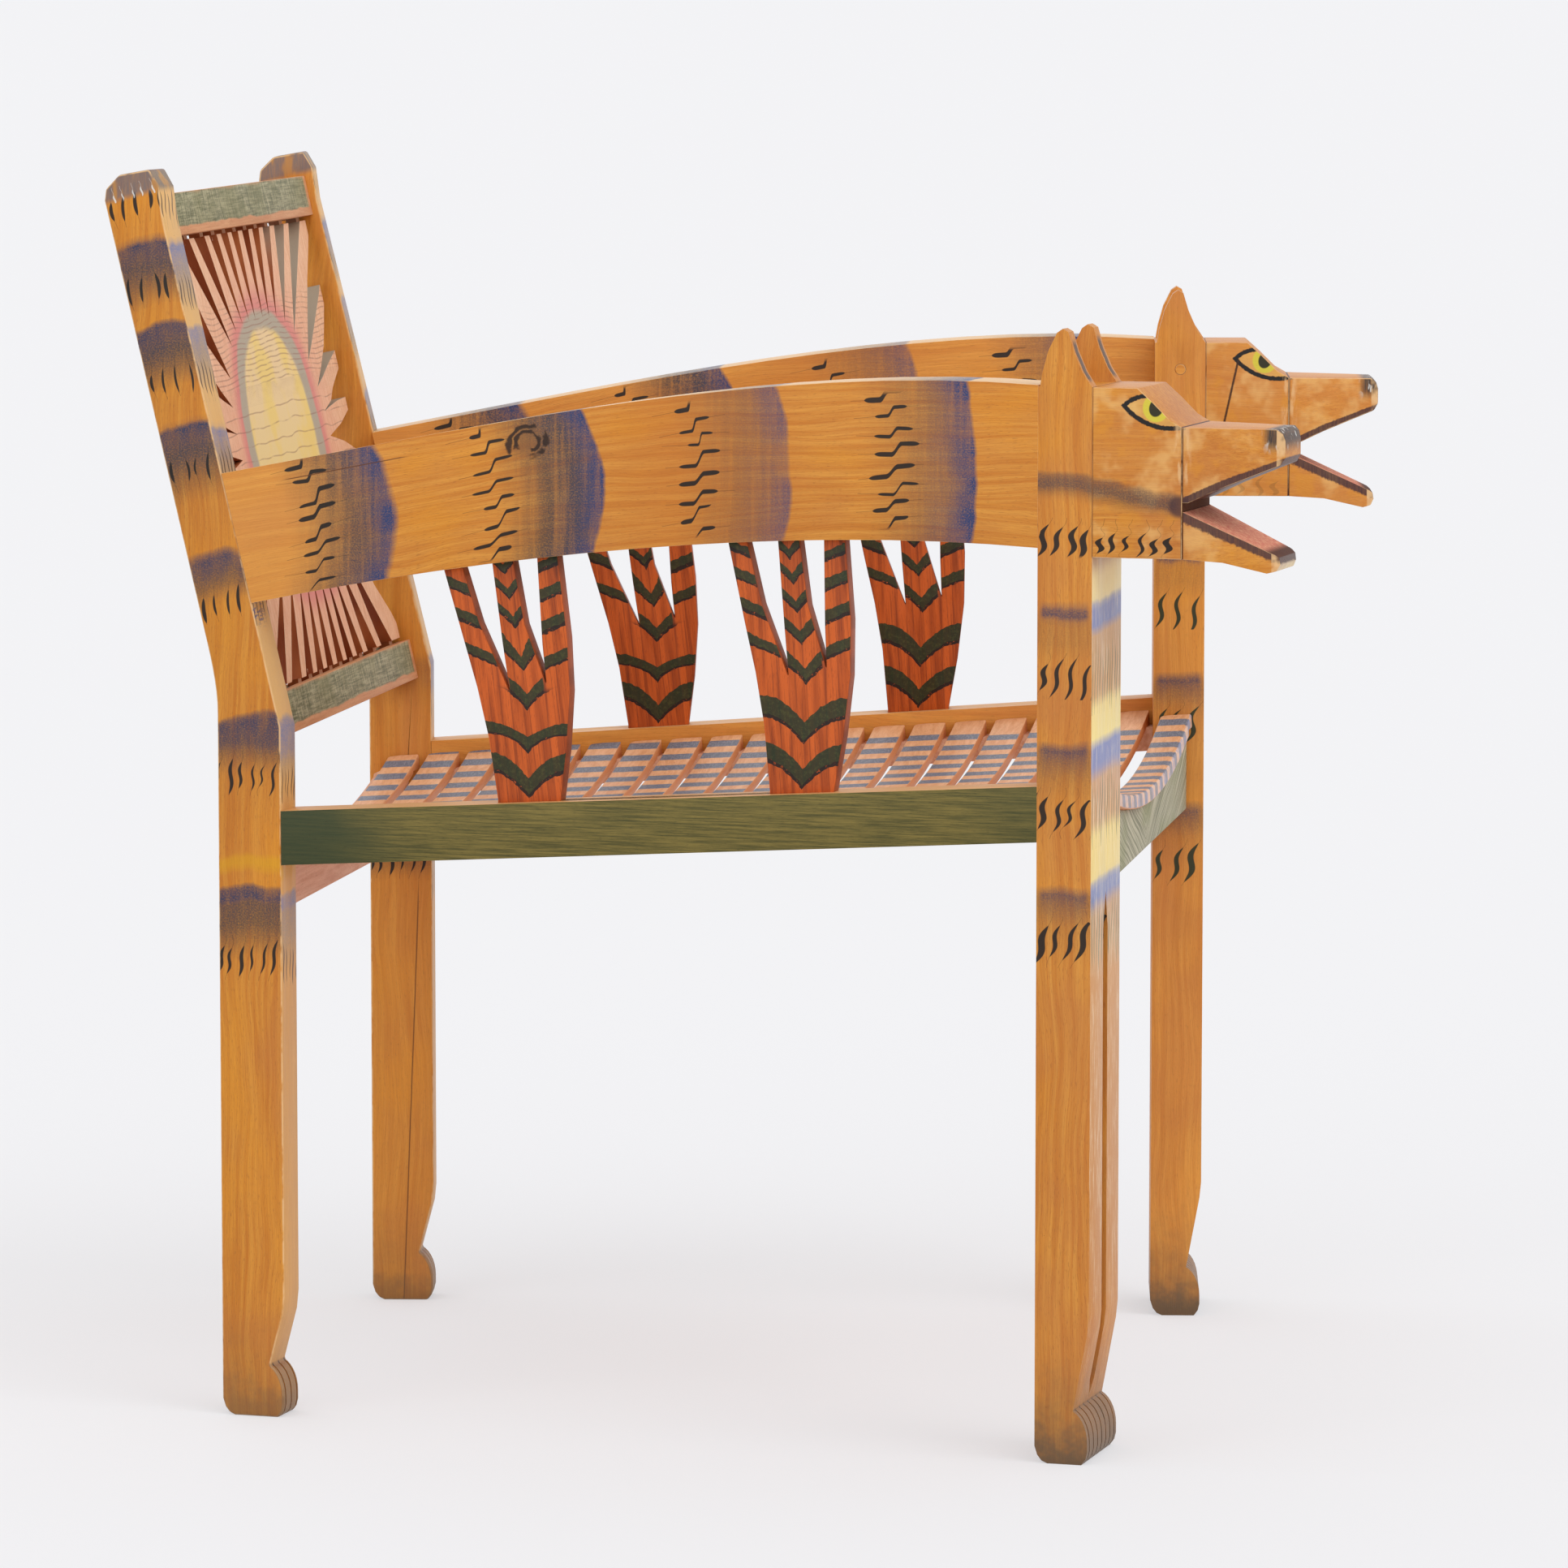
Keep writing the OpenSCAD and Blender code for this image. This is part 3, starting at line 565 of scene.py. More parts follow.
def end_finish(r, shader, colour, rough, height, depth=RELIEF, level=0.25):
    """Links colour, roughness and a fine relief to the shader."""
    relief = r.node("Bump")
    relief.inputs["Strength"].default_value = 0.6
    relief.inputs["Distance"].default_value = depth
    r.feed(relief.inputs["Height"], height)
    r.feed(shader.inputs["Normal"], relief.outputs[0])
    r.feed(shader.inputs["Base Color"], colour)
    r.feed(shader.inputs["Roughness"], rough)
    shader.inputs["Specular IOR Level"].default_value = level


def stained(r, side, place, seed, light=HONEY_LIGHT, dark=HONEY_DARK):
    """Honey-stained beech, with painted light that makes the inner faces a little paler: returns its colour
    and the wood's own values.
    """
    wood = r.use(beech_group, Place=place, Seed=seed)
    colour = r.lay(r.fade(wood["Lines"], 0.34, 0.66), dark, light)
    colour = r.lay(r.times(r.fade(wood["Clouds"], 0.50, 0.72), 0.6), colour, HONEY_GOLD)
    colour = r.lay(r.times(r.fade(wood["Clouds"], 0.47, 0.30), 0.4), colour, chip(186, 112, 56))
    fine = r.fade(wood["Fine"], 0.3, 0.7)
    colour = r.lay(r.times(r.opposite(fine), 0.26), colour, chip(160, 94, 40))
    colour = r.lay(r.times(wood["Flecks"], 0.34), colour, chip(140, 78, 34))
    # Painted light: the inner faces are laid a little paler, to lift the shade that falls on them.
    return r.lay(r.fade(side["Face N"], 0.5, 0.8, 0.0, 0.18), colour, chip(246, 168, 84)), wood


def weathered(r, side, colour, dirt=1.0):
    """Adds paler rims, rubbed edges, dirty feet and a few dark specks to a side piece."""
    flat = r.absolute(side["Face N"])
    spots = r.cloud(side["Place"], (0.05, 0.05, 0.05), 3.0, 0.7)
    edge = r.times(r.fade(flat, 0.25, 0.6), r.fade(flat, 0.97, 0.8))
    edge = r.times(edge, r.fade(spots, 0.34, 0.56))
    colour = r.lay(r.times(edge, 0.85), colour, BARE)
    low = r.plus(side["Z"], r.times(spots, 60.0))
    colour = r.lay(r.times(r.fade(low, 120.0, 20.0), 0.85 * dirt), colour, chip(120, 88, 58))
    colour = r.lay(r.times(r.fade(low, 62.0, 30.0), 0.75 * dirt), colour, chip(92, 78, 62))
    from_toe = r.least(r.far(side["S"], LEG_FRONT), r.far(side["S"], POST_FRONT))
    toe = r.times(r.fade(side["Face S"], -0.15, -0.35), r.fade(side["Z"], 39.0, 37.0),
                  r.fade(from_toe, 13.0, 11.0))
    colour = r.lay(r.times(toe, 0.6), colour, chip(128, 100, 74))
    first = r.fade(side["S"], -1.0, 1.0, GROOVE_FRONT, GROOVE_REAR)
    groove = r.calc("PINGPONG", r.minus(side["N"], first), GROOVE_PITCH / 2)
    colour = r.lay(r.times(toe, r.fade(groove, 1.5, 0.7), 0.85), colour, chip(56, 40, 30))
    specks = r.cloud(side["Place"], (0.5, 0.5, 0.5), 1.0)
    return r.lay(r.times(r.fade(specks, 0.80, 0.84), 0.7), colour, chip(96, 56, 28))


def wash(r, side, amount, colour, paint, bristle):
    """A scrubbed coat: bristle lines and open grain let the wood through."""
    grit = r.cloud(side["Place"], (0.9, 0.9, 0.9), 2.0, 0.8)
    thin = r.plus(r.times(bristle, 0.45), r.fade(grit, 0.3, 0.62, 0.45, 0.95))
    return r.lay(r.calc("MULTIPLY", amount, thin, clamp=True), colour, paint)


print("stain recipe ready")

# %% [markdown]
# ## Bands and rows by height
# Bands and rows of flicks sit at certain heights, and a lookup table is the shortest way to say them.
# One kind gives the blue, the brown and a warm yellow at each height. The other gives the middle of
# the nearest row of flicks, a seed for it and whether a row is there at all. A table runs from 0 to 1,
# so each height is divided by the same 900 mm.

# %% Band and row tables
SCALE = 900.0
FLICK = {"Snap": 3.6, "Hold": 9.0, "Start": 0.0, "Flip": 0.0, "Blunt": 3.0}
EMPTY = (0.0, 0.0, 0.0)


def up_place(height):
    """A height as a table position."""
    return height / SCALE


def stops(rows):
    """Table rows from (height, blue, brown, yellow) rows."""
    return [(up_place(height), (blue, brown, gold)) for height, blue, brown, gold in rows]


def row_table(rows, reach, place=up_place):
    """Table rows that give (middle, seed, on) inside each row of flicks and nothing outside."""
    table = [(0.0, EMPTY)]
    for i, middle in enumerate(rows):
        table.append((place(middle - reach), (place(middle), (i + 1) / 20.0, 1.0)))
        table.append((place(middle + reach), EMPTY))
    return table


def flicks(r, along, across, seed, **shape):
    """One row of flicks. The shape names what differs from the usual flick."""
    return r.use(flick_group, Along=along, Across=across, Row=seed, **{**FLICK, **shape})[0]


def flick_row(r, height, across, rows, reach, **shape):
    """All the rows of flicks on one board."""
    middle, seed, on = r.split(r.table(r.per(height, SCALE), row_table(rows, reach), "CONSTANT"))
    along = r.minus(height, r.times(middle, SCALE))
    return r.times(flicks(r, along, across, seed, **shape), on)


print("band and row tables ready")

# %% [markdown]
# ## Rear posts: wood
# A post is one board with a bend at seat height, raked above it. Bands lie square to the raked part,
# so the height that they use is measured along it. The front rim is pale, where hands and backs have
# rubbed it, and the rear rim less so.

# %% Rear post wood
BEND = 488.0
LEAN = 0.24008
MIDDLE = 20.0

post_finish, r, shader = start_finish("stained rear post")
side, s, z, n, place = on_side(r)
raked = r.most(r.minus(z, BEND), 0.0)
from_front = r.minus(s, r.plus(POST_FRONT, r.times(raked, LEAN)))
on_rake = r.fade(z, BEND - 15.0, BEND + 15.0)
height = r.plus(z, r.times(r.minus(from_front, MIDDLE), LEAN, on_rake))
colour, wood = stained(r, side, r.join(z, s, n), side["Hand"], chip(214, 144, 52), chip(194, 117, 32))
front = r.fade(side["Face S"], -0.6, -0.85)
rear = r.fade(side["Face S"], 0.6, 0.85)
colour = r.lay(r.times(rear, 0.4), colour, chip(222, 172, 100))
colour = r.lay(r.times(front, r.fade(z, 400.0, 480.0, 0.5, 0.8)), colour, chip(232, 188, 122))
print("rear post wood stained")

# %% [markdown]
# ## Rear posts: bands
# Six smoky blue bands cross each post, dark at the upper edge and fading down into brown, with a
# yellow patch between two of them. They are scrubbed on with a nearly dry brush, so bristle noise
# stretched along the post thins them. Above the seat the inner faces stay plain. A table holds 32
# rows at most, so the top band has a table of its own.

# %% Rear post bands
POST_BANDS = [
    (325, 0, 0, 0), (336, 0, 0.35, 0), (350, 0.10, 0.7, 0), (366, 0.3, 0.7, 0), (368, 0.95, 0.4, 0),
    (376, 0.75, 0.3, 0), (379, 0, 0, 0), (389, 0, 0, 0), (391, 0, 0, 0.8), (398, 0, 0, 0.7), (401, 0, 0, 0),
    (455, 0, 0.05, 0), (470, 0.1, 0.5, 0), (478, 0.6, 0.6, 0), (495, 0.9, 0.4, 0), (498, 0, 0, 0),
    (575, 0, 0.05, 0), (588, 0.1, 0.6, 0), (597, 0.6, 0.6, 0), (607, 0.95, 0.3, 0), (610, 0, 0, 0),
    (645, 0, 0.05, 0), (662, 0, 0.5, 0), (680, 0.35, 0.8, 0), (697, 1.0, 0.4, 0), (700, 0, 0, 0),
    (724, 0, 0.05, 0), (739, 0.1, 0.6, 0), (751, 0.4, 0.8, 0), (766, 1.0, 0.4, 0), (769, 0, 0, 0)]
POST_TOP = [(780, 0, 0.05, 0), (796, 0.1, 0.6, 0), (808, 0.4, 0.8, 0), (824, 1.0, 0.4, 0), (827, 0, 0, 0)]

inner_face = r.fade(side["Face N"], 0.5, 0.8)
inner = r.times(inner_face, r.fade(z, 400.0, 420.0))
wobble = r.sway(place, (0.05, 0.012, 0.07), 3.0, 11.0)
dome = r.times(r.power(r.minus(from_front, MIDDLE), 2.0), -0.006)
band_height = r.per(r.plus(r.minus(r.plus(height, wobble), dome), r.times(front, 5.0)), SCALE)
lower = r.split(r.table(band_height, stops(POST_BANDS)))
upper = r.split(r.table(band_height, stops(POST_TOP)))
painted = r.opposite(r.times(inner, r.fade(z, 486.0, 498.0, 0.75, 1.0)))
blue = r.times(r.plus(lower[0], upper[0]), painted)
brown = r.times(r.plus(lower[1], upper[1]), painted)
bristle = r.cloud(place, (0.7, 0.06, 0.7), 4.0, 0.75)
dab = r.fade(r.cloud(place, (0.09, 0.03, 0.09)), 0.3, 0.6, 0.6, 1.0)
colour = r.lay(r.times(lower[2], painted, 0.7), colour, chip(212, 156, 14))
colour = wash(r, side, r.times(brown, 1.05), colour, r.lay(front, SMOKE, chip(168, 142, 112)), bristle)
colour = wash(r, side, r.times(blue, dab, 0.95), colour, r.lay(front, BLUE, chip(120, 124, 160)), bristle)
print("rear post bands laid")

# %% [markdown]
# ## Rear posts: flicks, scribble and crack
# A row of flicks hangs under each band. Above the bend they are small brackets, half of them turned
# round, and below it they are longer and slanted. The front rim has fine straight strokes and one
# bluish scribble, and the tops are grey with tiny white ticks. The left post has a crack in the inner
# face of its foot.

# %% Rear post marks
POST_ROWS = [324, 452, 573, 667, 729, 792, 849]
HIGH_ROWS = [row for row in POST_ROWS if row > BEND]
LOW_ROWS = [row for row in POST_ROWS if row < BEND]
INNER_SHIFT = 15.0
CRACK_FOOT, CRACK_LEAN = 296.0, -0.04

marks = flick_row(r, height, r.minus(from_front, 2.0), HIGH_ROWS, 14.0, Pitch=9.6, Half=8.5, Width=1.15,
                  Step=1.3, Tilt=-0.10, Snap=1.5, Start=1.57, Flip=1.0)
low_marks = flick_row(r, r.minus(z, r.times(inner_face, INNER_SHIFT)), r.minus(from_front, 1.0), LOW_ROWS,
                      16.0, Pitch=8.2, Half=11.0, Width=1.1, Step=0.9, Tilt=-0.14)
rim_marks = flick_row(r, r.plus(height, 5.0), n, POST_ROWS, 16.0, Pitch=6.2, Half=12.5, Width=0.85,
                      Step=0.6, Tilt=0.05)
faces = r.times(broad_faces(r, side), r.opposite(inner))
colour = r.lay(r.times(r.most(marks, low_marks), faces, 0.97), colour, INK)
colour = r.lay(r.times(rim_marks, front, 0.85), colour, chip(72, 54, 42))
scribble = r.fade(r.cloud(place, (0.2, 0.5, 0.12), 3.0, 0.7), 0.50, 0.60)
scribble = r.times(scribble, r.between(z, 560.0, 598.0, 5.0), r.fade(n, 26.0, 12.0), front)
colour = r.lay(r.times(scribble, 0.8), colour, chip(64, 74, 128))
cap = r.times(r.fade(height, 853.0, 859.0), r.plus(0.5, r.times(bristle, 0.7)))
grey = r.lay(r.fade(dab, 0.66, 0.84), chip(164, 122, 78), chip(92, 96, 104))
colour = r.lay(r.times(cap, 0.9), colour, grey)
ticks = flick_row(r, height, r.minus(from_front, 6.0), [857.0], 6.0, Pitch=7.5, Half=3.0, Width=0.5,
                  Step=0.3, Tilt=0.08)
colour = r.lay(r.times(ticks, faces, 0.8), colour, chip(222, 220, 214))
crack = r.far(s, r.plus(CRACK_FOOT, r.plus(r.times(z, CRACK_LEAN), r.times(wobble, 0.15))))
crack = r.times(r.fade(crack, 0.7, 0.25), r.fade(z, 330.0, 300.0), r.fade(side["Face N"], 0.6, 0.9),
                r.fade(side["Hand"], -0.1, 0.1))
colour = r.lay(r.times(crack, 0.75), colour, chip(92, 52, 24))
colour = weathered(r, side, colour, 0.5)
end_finish(r, shader, colour, 0.42, wood["Fine"])
print("rear post finish made")

# %% [markdown]
# ## Front legs and heads: wood
# The leg, the cheek and both jaws were glued up first and painted as one animal, so they share one
# finish. Grain runs up the leg and along the head, and both meet at the seam between them. The heads
# have soft paler and more golden patches.

# %% Head and foreleg wood
head_finish, r, shader = start_finish("stained head and foreleg")
side, s, z, n, place = on_side(r)
colour_up, wood_up = stained(r, side, r.join(z, s, n), r.plus(side["Hand"], 4.0))
colour_on, wood_on = stained(r, side, r.join(s, z, n), r.plus(side["Hand"], 7.0))
is_leg = r.fade(s, LEG_FRONT - 0.4, LEG_FRONT + 0.4)
colour = r.lay(is_leg, colour_on, colour_up)
fine = r.lay(is_leg, wood_on["Fine"], wood_up["Fine"])
faces = broad_faces(r, side)
tone = r.cloud(place, (0.012, 0.012, 0.02))
colour = r.lay(r.times(faces, r.fade(tone, 0.4, 0.62), 0.35), colour, chip(186, 114, 56))
ahead = r.fade(s, LEG_FRONT + 2.0, LEG_FRONT - 2.0)
on_head = r.times(faces, ahead)
pale = r.cloud(place, (0.035, 0.035, 0.03), 3.0, 0.6)
colour = r.lay(r.times(on_head, r.fade(pale, 0.48, 0.66), 0.55), colour, chip(228, 180, 112))
colour = r.lay(r.times(on_head, r.fade(pale, 0.46, 0.34), 0.45), colour, chip(214, 142, 40))
print("head and foreleg wood stained")

# %% [markdown]
# ## Front legs and heads: bands and flicks
# Three smoky bands cross the leg and one crosses the cheek. The outer and the inner face have their
# own rows of flicks, and those inside are in a greener ink. Both kinds are looked up by height and
# mixed by the face's direction, so no second material is needed.

# %% Head and foreleg bands and flicks
LEG_BANDS = [
    (345, 0, 0.05, 0), (370, 0, 0.3, 0), (384, 0.3, 0.6, 0), (391, 0.75, 0.5, 0), (396, 0, 0, 0),
    (455, 0, 0.1, 0), (470, 0, 0.4, 0), (481, 0.3, 0.6, 0), (490, 0.95, 0.4, 0), (494, 0, 0, 0),
    (548, 0, 0.05, 0), (562, 0, 0.35, 0), (576, 0, 0.35, 0), (579, 0.95, 0.2, 0), (586, 0.8, 0, 0),
    (588, 0, 0, 0),
    (659, 0, 0, 0), (664, 0, 0.4, 0), (668, 0.35, 0.75, 0), (674, 0.4, 0.7, 0), (678, 0, 0, 0)]
LEG_ROWS = [358, 444.5, 537.5, 629.5]
INNER_ROWS = [342, 449.5, 534, 627]

wobble = r.sway(place, (0.05, 0.03, 0.05), 3.0, 9.0)
bristle = r.cloud(place, (0.9, 0.05, 0.9), 3.0, 0.7)
droop = r.times(r.most(r.minus(-300.0, s), 0.0), 0.20, r.fade(z, 610.0, 640.0))
inner = r.fade(side["Face N"], 0.0, 0.5)
band_height = r.per(r.plus(z, wobble, droop, r.times(inner, 6.6)), SCALE)
blue, brown, _ = r.split(r.table(band_height, stops(LEG_BANDS)))
within = r.times(r.fade(s, CHEEK_FRONT - 2.0, CHEEK_FRONT + 7.0), faces)
smudged = r.fade(z, 650.0, 656.0, 0.75, 0.92)
colour = wash(r, side, r.times(brown, within, smudged), colour, SMOKE, bristle)
inset = r.fade(r.far(s, LEG_MIDDLE), 19.0, 14.0)
inset = r.lay(r.fade(z, 620.0, 600.0), (0.7, 0.7, 0.7, 1.0), inset)
colour = wash(r, side, r.times(blue, within, inset, 0.8), colour, BLUE, bristle)

half = r.split(r.lay(ahead, r.fade(z, 600.0, 612.0, 13.0, 10.0), r.join(7.5, 7.5, 7.5)))[0]
outer_marks = flick_row(r, z, r.minus(s, LEG_FRONT), LEG_ROWS, 17.0, Pitch=9.6, Half=half, Width=1.9,
                        Step=1.7, Tilt=-0.30)
inner_marks = flick_row(r, z, r.minus(s, LEG_FRONT + 2.0), INNER_ROWS, 17.0, Pitch=12.0, Half=half,
                        Width=2.1, Step=2.1, Tilt=-0.24)
marks = r.plus(r.times(outer_marks, r.opposite(inner)), r.times(inner_marks, inner))
clear = r.opposite(r.fade(z, 600.0, 610.0))
marks = r.times(marks, r.most(clear, r.fade(z, CHEEK_FOOT - 2.0, CHEEK_FOOT + 1.0)))
inside_cheek = r.times(inner, r.fade(s, LEG_FRONT + 1.0, LEG_FRONT - 1.0), 0.75)
marks = r.times(marks, r.opposite(inside_cheek))
ink = r.lay(inner, INK, chip(34, 46, 26))
colour = r.lay(r.times(marks, faces, r.fade(s, CHEEK_FRONT + 2.0, CHEEK_FRONT + 4.0), 0.97), colour, ink)
print("head and foreleg bands and flicks laid")

# %% [markdown]
# ## Front of the foreleg
# The front of the leg is pale, with yellow, blue and tan bands, which one lookup table gives by
# height. Upright strokes of the brush lighten and darken it, and thin reed-like lines stand between
# the bands. Down at the paw the paint is worn away.

# %% Front of the foreleg
SHIN = [
    (0, 176, 118, 66), (90, 196, 132, 74), (330, 206, 150, 98), (350, 206, 164, 122), (378, 200, 160, 126),
    (386, 128, 140, 182), (396, 138, 148, 184), (401, 238, 214, 142), (430, 240, 214, 140),
    (438, 214, 166, 120), (468, 204, 160, 124), (476, 132, 142, 186), (490, 130, 142, 188),
    (495, 244, 224, 150), (518, 242, 218, 146), (525, 206, 160, 112), (566, 204, 164, 124),
    (573, 130, 142, 186), (586, 140, 150, 190), (591, 244, 226, 166), (606, 242, 222, 166),
    (616, 206, 178, 148), (640, 206, 160, 108)]
REED_ROWS = [362, 446, 538]

tilt = r.plus(z, r.plus(r.times(n, -0.06), r.times(wobble, 0.8)))
shin = r.table(r.per(tilt, SCALE), [(up_place(height), chip(*paint)) for height, *paint in SHIN])
strokes = r.cloud(place, (0.3, 0.03, 0.5), 4.0, 0.75)
shin = r.lay(r.times(r.fade(strokes, 0.5, 0.66), 0.45), shin, chip(250, 236, 206))
shin = r.lay(r.times(r.fade(strokes, 0.42, 0.3), 0.3), shin, chip(186, 132, 90))
reeds = flick_row(r, z, n, REED_ROWS, 26.0, Pitch=6.5, Half=22.0, Width=0.75, Step=0.6, Tilt=0.03)
shin = r.lay(r.times(reeds, 0.85), shin, chip(92, 100, 70))
front = r.times(r.fade(side["Face S"], -0.6, -0.9), r.fade(z, CHEEK_FOOT + 3.0, CHEEK_FOOT))
colour = r.lay(r.times(front, r.fade(z, 60.0, 200.0, 0.3, 0.95)), colour, shin)
print("front of the foreleg painted")

# %% [markdown]
# ## Eyes
# Each eye is an almond between two arcs: the place inside both circles is the eye, and a thin belt
# round it is the black lid line. A slanted yellow oval is the iris, and a smaller black one the pupil.
# The edges are slightly ragged, as brushed lines are. A fine crack runs down the inner side of the
# left cheek.

# %% Eyes
LIDS = [(-349.6, 705.9, 22.5), (-364.6, 749.8, 39.9)]
EYE_S, EYE_Z = -355.0, 722.0
EYE_COS, EYE_SIN = 0.95, 0.32
CHEEK_CRACK_S, CHEEK_CRACK_Z = -328.0, 690.0


def ring(ring_s, ring_z):
    """Distance from a middle on the side of the head."""
    return r.distance(r.minus(s, ring_s), r.minus(z, ring_z))


ragged = r.sway(place, (0.5, 0.5, 0.5), 2.0, 1.6)
lid = r.plus(r.most(*[r.minus(ring(lid_s, lid_z), radius) for lid_s, lid_z, radius in LIDS]), ragged)
eye = r.times(faces, r.fade(s, LEG_FRONT - 1.0, LEG_FRONT - 5.0))
inside = r.times(r.fade(lid, 0.3, -0.3), eye)
eye_s, eye_z = r.minus(s, EYE_S), r.minus(z, EYE_Z)
slant_s = r.plus(r.times(eye_s, EYE_COS), r.times(eye_z, EYE_SIN))
slant_z = r.minus(r.times(eye_z, EYE_COS), r.times(eye_s, EYE_SIN))
iris = r.distance(r.times(slant_s, 0.11), r.times(slant_z, 0.105))
pupil = r.distance(r.times(slant_s, 0.21), r.times(slant_z, 0.165))
colour = r.lay(r.times(inside, 0.35), colour, chip(226, 190, 110))
colour = r.lay(r.times(inside, r.fade(iris, 1.08, 0.95)), colour, chip(206, 190, 62))
colour = r.lay(r.times(inside, r.fade(pupil, 1.1, 0.95), 0.97), colour, INK)
colour = r.lay(r.times(r.fade(lid, -0.2, 0.3), r.fade(lid, 3.6, 2.8), eye), colour, INK)
crack = r.far(s, r.plus(CHEEK_CRACK_S, r.times(r.minus(z, CHEEK_CRACK_Z), -0.22)))
crack = r.plus(crack, r.times(r.absolute(ragged), 0.7))
crack = r.times(r.fade(crack, 1.3, 0.5), r.between(z, 662.0, 722.0, 3.0), r.fade(side["Face N"], 0.6, 0.9))
colour = r.lay(r.times(crack, r.fade(side["Hand"], -0.1, 0.1), 0.95), colour, chip(58, 30, 16))
print("eyes painted")

# %% [markdown]
# ## Mouths
# The lips are a dull purple-brown belt along both edges of the open mouth. Each edge is a straight
# line or two on the side of the head, and the belt is what lies close to it. The top of the lower jaw
# is pink, and the wall at the back of the mouth is dark and dull. The belt ends in a soft round
# corner on the cheek.

# %% Mouths
LIP = chip(70, 44, 46)
CORNER_S, CORNER_Z = -371.0, 656.0

upper_line = r.least(r.plus(658.5, r.times(r.minus(-377.0, s), 0.465)),
                     r.plus(668.5, r.times(r.minus(-398.5, s), 0.373)))
lower_line = r.plus(652.5, r.times(r.minus(s, CHEEK_FRONT), 0.4365))
over_edge, under_edge = r.minus(z, lower_line), r.minus(lower_line, z)
jaw = r.fade(s, CHEEK_FRONT + 1.0, CHEEK_FRONT - 1.0)
upper_lip = r.times(jaw, r.fade(r.plus(r.minus(z, upper_line), ragged), 5.6, 4.6), r.fade(z, 645.0, 653.0))
upper_lip = r.times(upper_lip, r.fade(over_edge, 0.5, 3.0))
lower_lip = r.times(jaw, r.fade(r.plus(under_edge, r.times(ragged, 2.0)), 8.0, 6.0),
                    r.fade(over_edge, 1.5, 0.5))
mouth = r.times(r.fade(side["Face Z"], 0.5, 0.75), r.fade(over_edge, 1.2, 0.2), jaw,
                r.fade(under_edge, 7.0, 5.0))
colour = r.lay(r.times(r.most(upper_lip, lower_lip), r.plus(0.72, r.times(bristle, 0.4))), colour, LIP)
gum = r.lay(r.fade(strokes, 0.4, 0.6), chip(236, 170, 136), chip(214, 118, 98))
colour = r.lay(r.times(mouth, r.fade(s, -432.0, -424.0), 0.9), colour, gum)
trail = r.far(z, r.minus(CORNER_Z + 1.0, r.times(r.minus(s, CORNER_S), -0.06)))
trail = r.times(r.fade(s, -380.0, -340.0), r.fade(s, -334.0, -342.0), r.fade(trail, 5.0, 2.0), 0.5)
corner = r.most(r.fade(ring(CORNER_S, CORNER_Z), 9.5, 5.0), trail)
corner = r.times(corner, faces, r.fade(r.far(s, CORNER_S + 1.0), 12.0, 6.0))
colour = r.lay(r.times(corner, 0.85), colour, LIP)
throat = r.times(r.fade(side["Face S"], -0.5, -0.8), r.between(s, -376.0, -368.0, 1.0),
                 r.between(z, 636.0, 662.0, 1.0))
colour = r.lay(r.times(throat, 0.9), colour, chip(54, 34, 34))
print("mouths painted")

# %% [markdown]
# ## Noses, seams and ears
# The nose is black with a few white shines. The glued seams show as thin dark lines, and the wood
# beside the front one is rubbed pale. Each ear has a dark line down its front edges. The mouth's
# wall and floor are rougher than the rest, so that they don't gleam at a low angle.

# %% Noses, seams and ears
EAR_EDGES = (7.0, 71.0)

nose = r.times(r.fade(s, -424.0, -431.0), r.fade(z, 690.0, 701.0))
colour = r.lay(r.times(nose, r.plus(0.4, bristle)), colour, chip(44, 42, 44))
shine = r.times(nose, r.fade(r.cloud(place, (0.25, 0.09, 0.3)), 0.60, 0.66))
colour = r.lay(r.times(shine, 0.75), colour, chip(220, 216, 210))
from_seam = r.far(s, CHEEK_FRONT)
rubbed = r.times(r.fade(from_seam, 7.0, 3.0), r.fade(r.cloud(place, (0.2, 0.05, 0.2), 3.0), 0.45, 0.6))
colour = r.lay(r.times(rubbed, faces, r.fade(z, 668.0, 676.0), 0.6), colour, BARE)
colour = r.lay(r.fade(from_seam, 1.0, 0.5), colour, chip(86, 44, 18))
leg_seam = r.times(r.fade(r.far(s, LEG_FRONT), 0.8, 0.3), r.fade(z, CHEEK_FOOT - 1.0, CHEEK_FOOT))
colour = r.lay(r.times(leg_seam, 0.55), colour, chip(110, 62, 26))
ear = r.times(r.fade(z, 737.0, 741.0), r.fade(z, 768.0, 762.0), r.fade(side["Face S"], -0.25, -0.5))
from_ear = r.least(*[r.far(n, edge) for edge in EAR_EDGES])
colour = r.lay(r.times(ear, r.fade(r.plus(from_ear, ragged), 4.5, 3.2), 0.85), colour, chip(52, 50, 52))
colour = weathered(r, side, colour)
rough = r.plus(0.42, r.times(r.most(throat, mouth), 0.45))
end_finish(r, shader, colour, rough, fine)
print("head and foreleg finish made")

# %% [markdown]
# ## Arms: wood and bands
# The arm is the animal's back: four blue bands with a curved front edge fade backwards, each with a
# column of lying flicks behind it. Places are measured from the arm's bent middle line, which one
# cubic follows, so that the paint bends with the board. The front edge of a band is bowed by adding
# the square of the distance from that line.

# %% Arm wood and bands
ARM_LINE = (670.97, -0.11637, -0.0002322, 2.123e-7)
ARM_SCALE = 700.0
ARM_START = 330.0
ARM_BANDS = [(187.0, 0.95, 1.0), (35.0, 0.85, 1.15), (-99.0, 0.55, 0.5), (-230.0, 0.9, 0.6)]


def arm_place(value):
    """A place along the side as a table position, counted from behind the head."""
    return (value + ARM_START) / ARM_SCALE


